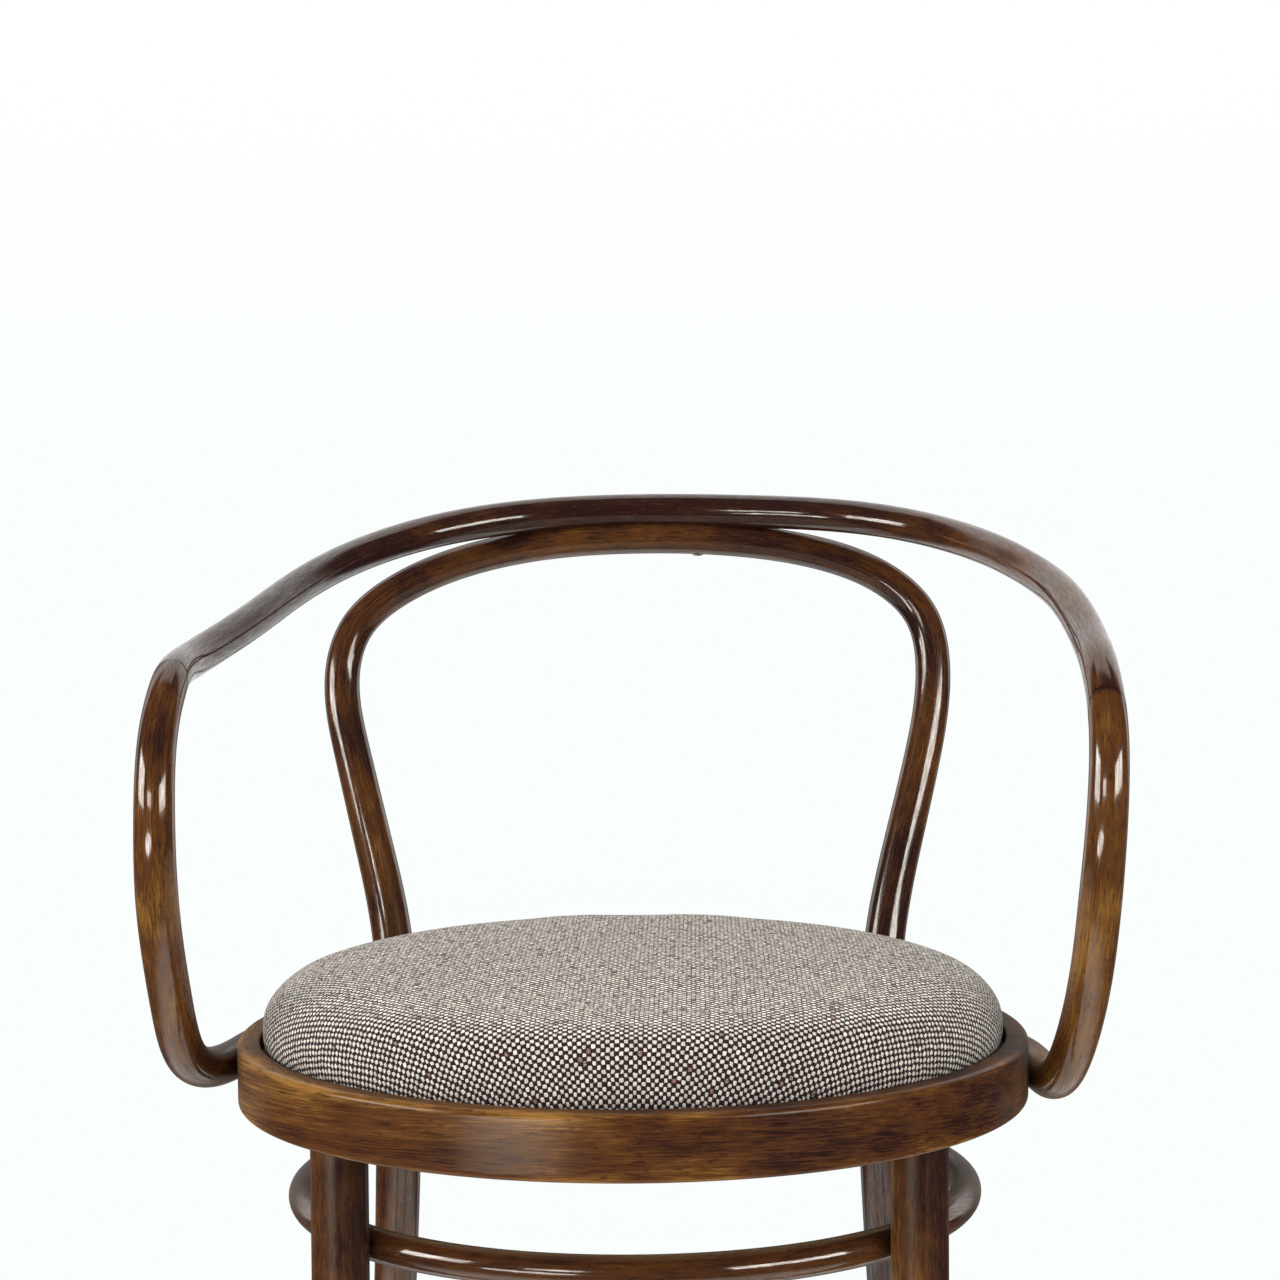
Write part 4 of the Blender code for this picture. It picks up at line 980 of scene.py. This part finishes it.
def pad_sheet(count):
    """Cloth laid over the pad: a square grid drawn to a disc and let down over the outline.

    A grid point (u, v) in -1 to 1 goes to x = u sqrt(1 - v v / 2), y = v sqrt(1 - u u / 2); its distance from
    the middle is the share of the cloth's reach from crown to hem, and its direction stays. The cloth's own
    flat coordinates are that distance and direction laid out flat. The outline goes over from the plain one
    to the squarer one of the front by the share that a direction faces forward.
    """
    seat = settings().seat
    line = np.linspace(-1.0, 1.0, count)
    u, v = np.meshgrid(line, line)
    x = u * np.sqrt(1 - v * v / 2)
    y = v * np.sqrt(1 - u * u / 2)
    away = np.minimum(np.hypot(x, y), 1.0)
    facing = np.arctan2(y, x)
    front = np.clip(-np.sin(facing), 0.0, 1.0)**1.5
    out, high, reach = 0.0, 0.0, 0.0
    outlines = (1 - front, seat.shoulder, seat.dome), (front, seat.front_shoulder, seat.front_dome)
    for part, shoulder, dome in outlines:
        radius, height, run = pad_profile(shoulder, dome)
        out = out + part * np.interp(away * run[-1], run, radius)
        high = high + part * np.interp(away * run[-1], run, height)
        reach = reach + part * away * run[-1]
    above = np.clip((high - seat.top - seat.widest) / (seat.crown - seat.widest), 0.0, 1.0)
    spread = np.clip((away - 0.1) / 0.55, 0.0, 1.0)
    high = high - seat.front_sag * front * above * spread**2 * (3 - 2 * spread)
    points = np.stack([out * np.cos(facing), out * np.sin(facing), high], axis=2)
    flat = np.stack([reach * np.cos(facing), reach * np.sin(facing)], axis=2)
    return points + SEAT_CENTRE, flat, away


def sheet_faces(count):
    """Faces of a square grid of points."""
    index = np.arange(count * count).reshape(count, count)
    quads = np.stack([index[:-1, :-1], index[:-1, 1:], index[1:, 1:], index[1:, :-1]], axis=2)
    return quads.reshape(-1, 4).tolist()


def finer(values):
    """Grid with the mean of its neighbours set between every two rows and columns."""
    for axis in (0, 1):
        values = np.moveaxis(values, axis, 0)
        between = np.empty((2 * len(values) - 1, *values.shape[1:]))
        between[::2] = values
        between[1::2] = (values[:-1] + values[1:]) / 2
        values = np.moveaxis(between, 0, axis)
    return values


def swelling(points, away, held, limit):
    """Blow a cloth up over its foam with Blender's cloth solver, held where it is turned under.

    A move m is capped smoothly to limit tanh(m / limit). The mean move of each ring of the pad, a curve
    fitted over the distance from its middle, is then taken off: the outline already has it, and what is
    left is the cloth's own unevenness, tighter along the yarns and fuller on the bias. It is evened out over
    its neighbours, capped at a tenth of the limit and fades to nothing at the middle.
    """
    sheet = solid("swelling_sheet", points.reshape(-1, 3), sheet_faces(len(points)))
    pin = sheet.vertex_groups.new(name="held")
    for weight in np.unique(held):
        pin.add(np.flatnonzero(held.ravel() == weight).tolist(), float(weight), "REPLACE")
    cloth = sheet.modifiers.new("cloth", "CLOTH")
    for key, value in CLOTH_SETTINGS.items():
        setattr(cloth.settings, key, value)
    cloth.settings.effector_weights.gravity = 0.0
    cloth.point_cache.frame_start = 1
    cloth.point_cache.frame_end = CLOTH_FRAMES
    for step in range(1, CLOTH_FRAMES + 1):
        bpy.context.scene.frame_set(step)
    blown = sheet.evaluated_get(bpy.context.evaluated_depsgraph_get()).data
    moved = np.empty(points.size)
    blown.vertices.foreach_get("co", moved)
    move = moved.reshape(points.shape) - points
    span = np.linalg.norm(move, axis=2, keepdims=True)
    bpy.data.objects.remove(sheet, do_unlink=True)
    bpy.context.scene.frame_set(1)
    if not 0.0 < span.max() < 1.0:
        raise RuntimeError(f"the seat cover's cloth moved {span.max()} m")
    move = move * limit * np.tanh(span / limit) / np.maximum(span, 1e-9)
    out = points - SEAT_CENTRE
    out[..., 2] = 0.0
    out /= np.maximum(np.linalg.norm(out, axis=2, keepdims=True), 1e-9)
    rest = move
    for way, part in ((out, (move * out).sum(2)), (np.array([0.0, 0.0, 1.0]), move[..., 2])):
        ring_mean = np.polyval(np.polyfit(away.ravel(), part.ravel(), 9), away)
        rest = rest - way * ring_mean[..., None]
    for _ in range(EVENING_ROUNDS):
        padded = np.pad(rest, ((1, 1), (1, 1), (0, 0)), mode="edge")
        rest = (padded[:-2, 1:-1] + padded[2:, 1:-1] + padded[1:-1, :-2] + padded[1:-1, 2:] + rest) / 5
    span = np.linalg.norm(rest, axis=2, keepdims=True)
    rest = rest * (limit / 10) * np.tanh(span * 10 / limit) / np.maximum(span, 1e-9)
    return rest * np.clip((away - 0.15) / 0.3, 0.0, 1.0)[..., None]


class ARMCHAIR_OT_seat_ring(bpy.types.Operator):
    """Make the bent seat ring with its rebate, notched for the rear legs and bored for the front legs"""

    bl_idname = "armchair.seat_ring"
    bl_label = "Seat Ring"

    def execute(self, context):
        seat = settings().seat
        leg = settings().leg
        bottom = seat.top - seat.height
        lip = seat.radius - seat.width
        rebate = seat.radius - seat.rim
        shelf = seat.top - seat.rebate
        profile = ring_profile((
            (lip, bottom, 0.0015), (lip, shelf, 0.0008), (rebate, shelf, 0.0003),
            (rebate, seat.top, 0.0010), (seat.radius, seat.top, seat.rounding), (seat.radius, bottom, 0.0026),
        ))
        rho = np.broadcast_to(profile[:, 0], (RING_FACETS, len(profile)))
        height = np.broadcast_to(profile[:, 1], rho.shape)
        turn = np.linspace(0.0, math.tau, RING_FACETS, endpoint=False)[:, None]
        edge = np.minimum(height - bottom, seat.top - height) + seat.radius - rho
        # paler along the outer top and bottom edges: wear, with painted light from the low lamps along the
        # bottom edge
        lift = EDGE_WEAR_AND_LIGHT * np.exp(-(edge / EDGE_WEAR_AND_LIGHT_WIDTH)**2)
        lift = lift - RING_SHADE * np.maximum(np.cos(turn + 0.1), 0.0)
        ring = ring_skin("bent_seat_ring", rho, height, SEAT_CENTRE, seat.radius, 0.6, 0.0, lift)
        sockets = front_leg_tools((bottom - 0.01, bottom + leg.tenon + GAP), leg.tenon_rod / 2)
        carve(ring, *rear_leg_tools(seat_middle(), seat.height), *sockets)
        dress(ring, "stained_beech", stained_beech("seat_ring"), "seat_ring")
        return {"FINISHED"}


class ARMCHAIR_OT_back_hoop(bpy.types.Operator):
    """Bend the back hoop and rear legs from one rod"""

    bl_idname = "armchair.back_hoop"
    bl_label = "Back Hoop"

    def execute(self, context):
        path = hoop_path(HOOP_STEP)
        hoop = skin("bent_back_hoop", *rod_grid(path, hoop_radii(path), 1.0, HOOP_STAIN_AND_SHEEN))
        carve(hoop, block(Matrix.Identity(4), (-1, -1, -1), (1, 1, GLIDE_TOP)))
        dress(hoop, "stained_beech", stained_beech("hoop"), "back_hoop")
        return {"FINISHED"}


def scarf_axes(path, radii, low, tip):
    """Axes of a scarf plane, from the rear of an upright up to the front of its bend, and its length."""
    arm = settings().arm
    heart = np.array([path[tip, 0], SEAT_CENTRE[1], (settings().seat.top + settings().hoop.top) / 2])
    corners = []
    for here, way in ((low, -1), (tip, 1)):
        along = path[here + 1] - path[here - 1]
        along = along / np.linalg.norm(along)
        out = (path[here] - heart) * (0, 1, 1)
        out = out - along * (out @ along)
        out = out / np.linalg.norm(out)
        corners.append(Vector(path[here] + out * way * (radii[here] - arm.scarf_tip)))
    up = (corners[1] - corners[0]).normalized()
    across = (Vector((1, 0, 0)) - up * up.x).normalized()
    front = up.cross(across)
    if front.y > 0:
        across = -across
        front = -front
    axes = Matrix((across, front, up)).transposed().to_4x4()
    axes.translation = corners[0]
    return axes, (corners[1] - corners[0]).length


class ARMCHAIR_OT_arm_rail(bpy.types.Operator):
    """Bend the rail of the back and arms with its two scarfed uprights"""

    bl_idname = "armchair.arm_rail"
    bl_label = "Arm Rail"

    def execute(self, context):
        arm = settings().arm
        seat = settings().seat
        path = arm_path(ARM_STEP)
        radii = arm_radii(path)
        middle = int(np.argmax(path[:, 2]))
        wide = 2 * arm.upright_rod
        ends = []
        tools = []
        for side, sign in SIDES:
            order = np.arange(middle + 1) if sign < 0 else np.arange(len(path) - 1, middle - 1, -1)
            climb = path[order]
            size = radii[order]
            tip = int(np.argmax(climb[:, 2] > bend_height() - SCARF_DROP[side]))
            low = tip - int(round(arm.scarf / ARM_STEP))
            axes, reach = scarf_axes(climb, size, low, tip)
            climb, size = climb[:tip + 1], size[:tip + 1]
            rod = rod_grid(climb, size, 2.0 + 0.37 * sign, UPRIGHT_STAIN_AND_SHADE[side])
            upright = skin(f"bent_upright_{side}", *rod)
            saddle = drum(seat.radius + GAP, seat.top - 2 * seat.height, seat.top + seat.height, SEAT_CENTRE)
            rear = block(axes, (-wide, -wide, -SCARF_HEEL), (wide, GAP / 2, reach + wide))
            carve(upright, rear, saddle)
            dress(upright, "stained_beech", stained_beech(f"upright_{side}"), f"arm_upright_{side}")
            tools.append(block(axes, (-wide, -GAP / 2, -wide), (wide, wide, reach + SCARF_END_GAP)))
            ends.append(order[low])
        span = slice(min(ends), max(ends) + 1)
        rail = skin("bent_arm_rail", *rod_grid(path[span], radii[span], 3.0, RAIL_STAIN_AND_LIGHT))
        hoop = hoop_path(TOOL_STEP)
        arch = hoop[hoop[:, 2] > settings().hoop.top - settings().hoop.shoulder_drop / 2]
        carve(rail, *tools, rod_tool(arch, hoop_radii(arch)))
        dress(rail, "stained_beech", stained_beech("rail"), "arm_hoop")
        return {"FINISHED"}


class ARMCHAIR_OT_front_legs(bpy.types.Operator):
    """Turn the two tapered front legs with their tenons"""

    bl_idname = "armchair.front_legs"
    bl_label = "Front Legs"

    def execute(self, context):
        leg = settings().leg
        bottom = settings().seat.top - settings().seat.height
        full = bottom - leg.full_drop
        heights = np.concatenate([
            np.linspace(GLIDE_TOP, full, TAPER_RINGS), np.linspace(full, bottom - GAP, FULL_RINGS)[1:],
            [bottom - GAP, bottom + leg.tenon]])
        radii = np.interp(heights, (GLIDE_TOP, full), (leg.foot / 2, leg.rod / 2))
        radii[-2:] = leg.tenon_rod / 2
        for side, sign in SIDES:
            item = skin(f"turned_front_leg_{side}", *front_leg_grid(sign, heights, radii, 5.0 + sign))
            dress(item, "stained_beech", stained_beech("legs"), f"front_leg_{side}")
        return {"FINISHED"}


class ARMCHAIR_OT_leg_ring(bpy.types.Operator):
    """Bend the leg ring and notch it where the legs bed on it"""

    bl_idname = "armchair.leg_ring"
    bl_label = "Leg Ring"

    def execute(self, context):
        leg = settings().leg
        turn = np.linspace(0.0, math.tau, RING_FACETS, endpoint=False)[:, None]
        angle = np.linspace(0.0, math.tau, LEG_RING_SIDES, endpoint=False)
        radius = leg.ring_rod / 2 * (1 + 0.008 * np.sin(2 * angle + 5 * turn))
        rho = leg.ring_radius + radius * np.cos(angle)
        height = leg.ring_height - radius * np.sin(angle)
        centre = SEAT_CENTRE + (0.0, leg.ring_back, 0.0)
        ring = ring_skin("bent_leg_ring", rho, height, centre, leg.ring_radius, 0.8, 9.0, 0 * rho)
        reach = (leg.ring_height - leg.ring_rod, leg.ring_height + leg.ring_rod)
        fronts = front_leg_tools(reach, leg.rod / 2)
        carve(ring, *rear_leg_tools(leg.ring_height, 2 * leg.ring_rod), *fronts)
        dress(ring, "stained_beech", stained_beech("leg_ring"), "leg_ring")
        return {"FINISHED"}


class ARMCHAIR_OT_seat_pad(bpy.types.Operator):
    """Lay the woven cover over the seat, swell it over its foam and give it its thickness"""

    bl_idname = "armchair.seat_pad"
    bl_label = "Seat Pad"

    def execute(self, context):
        seat = settings().seat
        count = 2 * COARSE_SHEET - 1
        points, flat, _ = pad_sheet(count)
        sheet, _, away = pad_sheet(COARSE_SHEET)
        _, height, run = pad_profile(seat.shoulder, seat.dome)
        side = np.interp(seat.top + seat.widest, height[::-1], run[::-1]) / run[-1]
        held = np.clip((away - side + HELD_MARGIN) / HELD_MARGIN, 0.0, 1.0)
        held = np.round(held * HELD_STEPS) / HELD_STEPS
        points = points + finer(swelling(sheet, away, held, seat.swell))
        cover = solid("woven_seat_cover", points.reshape(-1, 3), sheet_faces(count))
        mesh = cover.data
        corners = np.empty(len(mesh.loops), np.int32)
        mesh.loops.foreach_get("vertex_index", corners)
        lay = mesh.uv_layers.new(name="Cloth")
        lay.uv.foreach_set("vector", flat.reshape(-1, 2)[corners].astype(np.float32).ravel())
        wall = cover.modifiers.new("cover thickness", "SOLIDIFY")
        wall.thickness = seat.cover
        wall.offset = -1.0
        dress(cover, "tweed", tweed(), "seat_cover", "seat_foam")
        return {"FINISHED"}


class ARMCHAIR_OT_fixings(bpy.types.Operator):
    """Cut slotted screws where the frame's screws stand, and finish nuts, washers, panel and glides"""

    bl_idname = "armchair.fixings"
    bl_label = "Fixings"

    def execute(self, context):
        for name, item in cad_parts.items():
            if "screw" in name or "bolt" in name:
                self.slotted(name, item)
            elif "nut" in name or "washer" in name:
                item.material_slots[0].material = aged_steel()
        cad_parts["seat_panel"].material_slots[0].material = bare_plywood()
        for name in ("front_left", "front_right", "rear_left", "rear_right"):
            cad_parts[f"foot_glide_{name}"].material_slots[0].material = glide_plastic()
        return {"FINISHED"}

    def slotted(self, name, item):
        """A turned screw along its solid's longest direction: the solid's own outline, finer, with a slot."""
        points = np.array([vertex.co for vertex in item.data.vertices])
        centre = points.mean(0)
        axis = np.linalg.svd(points - centre, full_matrices=False)[2][0]
        depth = (points - centre) @ axis
        wide = np.linalg.norm(points - centre - depth[:, None] * axis, axis=1)
        if depth[np.argmax(wide)] < 0:
            axis, depth = -axis, -depth
        levels, which = np.unique(np.round(depth, 5), return_inverse=True)
        outline = np.array([wide[which.ravel() == level].max() for level in range(len(levels))])
        side = np.cross(axis, np.eye(3)[np.argmin(np.abs(axis))])
        side /= np.linalg.norm(side)
        up = np.cross(axis, side)
        angle = np.linspace(0.0, math.tau, SCREW_SIDES, endpoint=False)
        around = np.cos(angle)[:, None] * side + np.sin(angle)[:, None] * up
        grid = centre + levels[:, None, None] * axis + np.maximum(outline, 1e-5)[:, None, None] * around
        screw = skin(f"slotted_{name}", grid)
        axes = Matrix((Vector(side), Vector(up), Vector(axis))).transposed().to_4x4()
        axes.translation = Vector(centre + axis * levels[-1])
        half = SLOT_WIDTH / 2
        carve(screw, block(axes, (-SLOT_REACH, -half, -SLOT_DEPTH), (SLOT_REACH, half, SLOT_ABOVE)))
        dress(screw, "steel", aged_steel(), name)


class ARMCHAIR_OT_stage(bpy.types.Operator):
    """Lay the pale floor, light it softly and set the camera"""

    bl_idname = "armchair.stage"
    bl_label = "Stage"

    def execute(self, context):
        self.floor()
        self.world(context.scene)
        self.lamp("right softbox", (1.62, -1.34, 0.93), (1.5, 0.52), 1.0)
        self.lamp("left softbox", (-1.98, -0.72, 1.00), (1.3, 0.65), 1.0)
        self.lamp("left window", (-0.86, -1.96, 0.92), (0.70, 0.26), 1.0)
        self.lamp("low left card", (-1.05, -1.75, 0.20), (1.1, 0.32), 1.0, "ELLIPSE")
        self.lamp("overhead softbox", (0.0, -0.3, 2.6), (1.8, 1.8), 0.18).visible_glossy = False
        self.camera(context.scene)
        context.scene.view_settings.view_transform = "Standard"
        return {"FINISHED"}

    def floor(self):
        """Large disc that keeps the chair's shadow near it and fades to the pale backdrop further out."""
        angle = np.linspace(0.0, math.tau, FLOOR_SIDES, endpoint=False)
        circle = FLOOR_RADIUS * np.stack([np.cos(angle), np.sin(angle), 0 * angle], axis=1)
        item = solid("studio_floor", circle, [list(range(FLOOR_SIDES))])
        made, tree, surface = shader("studio_floor_paint")
        paint = opaque(settings().stage.floor)
        set_values(surface, {"Base Color": paint, "Roughness": 0.9, "Specular IOR Level": 0.1})
        place = node(tree, "ShaderNodeTexCoord").outputs["Object"]
        away = vector_sum(tree, "LENGTH", place)
        spot = node(tree, "ShaderNodeSeparateXYZ", {0: place})
        beside = sum_up(tree, "ABSOLUTE", spot.outputs["X"])
        behind = sum_up(tree, "MULTIPLY_ADD", beside, -0.7, spot.outputs["Y"])
        rays = node(tree, "ShaderNodeLightPath")
        glossy = rays.outputs["Is Glossy Ray"]
        room = blend(tree, ramp(tree, behind, 0.2, 0.9), DIM_ROOM, BACKDROP)
        shown = blend(tree, glossy, BACKDROP, room)
        seen = sum_up(tree, "MULTIPLY", seen_directly(tree, rays), ramp(tree, away, 0.65, 1.15))
        seen = sum_up(tree, "MULTIPLY_ADD", glossy, ramp(tree, away, 0.4, 0.8), seen, clamp=True)
        glow = node(tree, "ShaderNodeEmission", {"Color": shown}).outputs[0]
        mix = node(tree, "ShaderNodeMixShader", {0: seen, 1: surface.outputs[0], 2: glow})
        tree.links.new(mix.outputs[0], tree.nodes["Material Output"].inputs["Surface"])
        item.data.materials.append(made)

    def world(self, scene):
        """Pale studio behind and above, a dim room in front; the camera sees the backdrop, white at the top.

        Gloss shows the backdrop where a ray runs straight back, further forward overhead, and the dim room
        elsewhere.
        """
        made = bpy.data.worlds.new("studio")
        made.use_nodes = True
        scene.world = made
        tree = made.node_tree
        facing = node(tree, "ShaderNodeTexCoord").outputs["Generated"]
        lift = vector_sum(tree, "DOT_PRODUCT", facing, (0.0, 0.62, 0.78))
        light = blend(tree, ramp(tree, lift, -0.05, 0.75), (0.10, 0.105, 0.11, 1.0), (0.95, 0.97, 0.98, 1.0))
        rays = node(tree, "ShaderNodeLightPath")
        way = node(tree, "ShaderNodeSeparateXYZ", {0: facing})
        edge = ramp(tree, way.outputs["Z"], 0.80, 0.90, 0.40, 0.08)
        backward = ramp(tree, way.outputs["Y"], edge, sum_up(tree, "ADD", edge, 0.18))
        mirrored = blend(tree, backward, DIM_ROOM, WHITE)
        light = blend(tree, rays.outputs["Is Glossy Ray"], light, mirrored)
        backdrop = blend(tree, ramp(tree, way.outputs["Z"], 0.0, 0.14), BACKDROP, WHITE)
        shown = blend(tree, seen_directly(tree, rays), light, backdrop)
        tree.links.new(shown, tree.nodes["Background"].inputs["Color"])

    def lamp(self, name, place, size, share_of_glow, shape="RECTANGLE"):
        """Softbox aimed at the seat; its watts are pi times its glow times its area."""
        data = bpy.data.lights.new(name, "AREA")
        data.shape = shape
        data.size, data.size_y = size
        area = size[0] * size[1] * (math.pi / 4 if shape == "ELLIPSE" else 1.0)
        data.energy = math.pi * settings().stage.glow * share_of_glow * area
        item = bpy.data.objects.new(name, data)
        item.location = Vector(place) + Vector(SEAT_CENTRE)
        item.visible_camera = False
        aim = Vector((0.0, SEAT_CENTRE[1], 0.55)) - item.location
        item.rotation_euler = aim.to_track_quat("-Z", "Y").to_euler()
        bpy.context.scene.collection.objects.link(item)
        return item

    def camera(self, scene):
        """Camera in front of the chair: pitched, rolled and then turned with the chair's small turn."""
        look = settings().stage
        data = bpy.data.cameras.new("front view")
        data.sensor_width = SENSOR
        data.sensor_height = SENSOR
        data.lens = look.lens
        item = bpy.data.objects.new("front view", data)
        turn = Matrix.Rotation(look.turn, 4, "Z")
        tilt = Matrix.Rotation(math.pi / 2 - look.pitch, 4, "X")
        roll = Matrix.Rotation(look.roll, 4, "Z")
        place = Matrix.Translation((look.aside, -look.distance, look.height))
        item.matrix_world = Matrix.Translation(SEAT_CENTRE) @ turn @ place @ tilt @ roll
        scene.collection.objects.link(item)
        scene.camera = item


class ARMCHAIR_PT_panel(bpy.types.Panel):
    """Armchair pieces and settings"""

    bl_label = "Armchair"
    bl_idname = "ARMCHAIR_PT_panel"
    bl_space_type = "VIEW_3D"
    bl_region_type = "UI"
    bl_category = "Armchair"

    def draw(self, context):
        for operator in OPERATORS:
            self.layout.operator(operator.bl_idname)
        for group in ("seat", "hoop", "arm", "leg", "wood", "cloth", "stage"):
            values = getattr(context.scene.armchair, group)
            column = self.layout.column(heading=group.title())
            for key in values.bl_rna.properties.keys():
                if key not in {"rna_type", "name"}:
                    column.prop(values, key)


OPERATORS = (
    ARMCHAIR_OT_seat_ring, ARMCHAIR_OT_back_hoop, ARMCHAIR_OT_arm_rail, ARMCHAIR_OT_front_legs,
    ARMCHAIR_OT_leg_ring, ARMCHAIR_OT_seat_pad, ARMCHAIR_OT_fixings, ARMCHAIR_OT_stage,
)
CLASSES = (
    SeatSizes, HoopSizes, ArmSizes, LegSizes, WoodFinish, ClothFinish, StageLook, ArmchairSettings,
    *OPERATORS, ARMCHAIR_PT_panel,
)


def register():
    """Register the classes and the scene's settings."""
    for item in CLASSES:
        bpy.utils.register_class(item)
    bpy.types.Scene.armchair = PointerProperty(type=ArmchairSettings)


def unregister():
    """Remove the settings and the classes."""
    del bpy.types.Scene.armchair
    for item in reversed(CLASSES):
        bpy.utils.unregister_class(item)


def main():
    """Build every piece and the stage."""
    register()
    bpy.ops.armchair.seat_ring()
    bpy.ops.armchair.back_hoop()
    bpy.ops.armchair.arm_rail()
    bpy.ops.armchair.front_legs()
    bpy.ops.armchair.leg_ring()
    bpy.ops.armchair.seat_pad()
    bpy.ops.armchair.fixings()
    bpy.ops.armchair.stage()


if __name__ == "__main__":
    main()
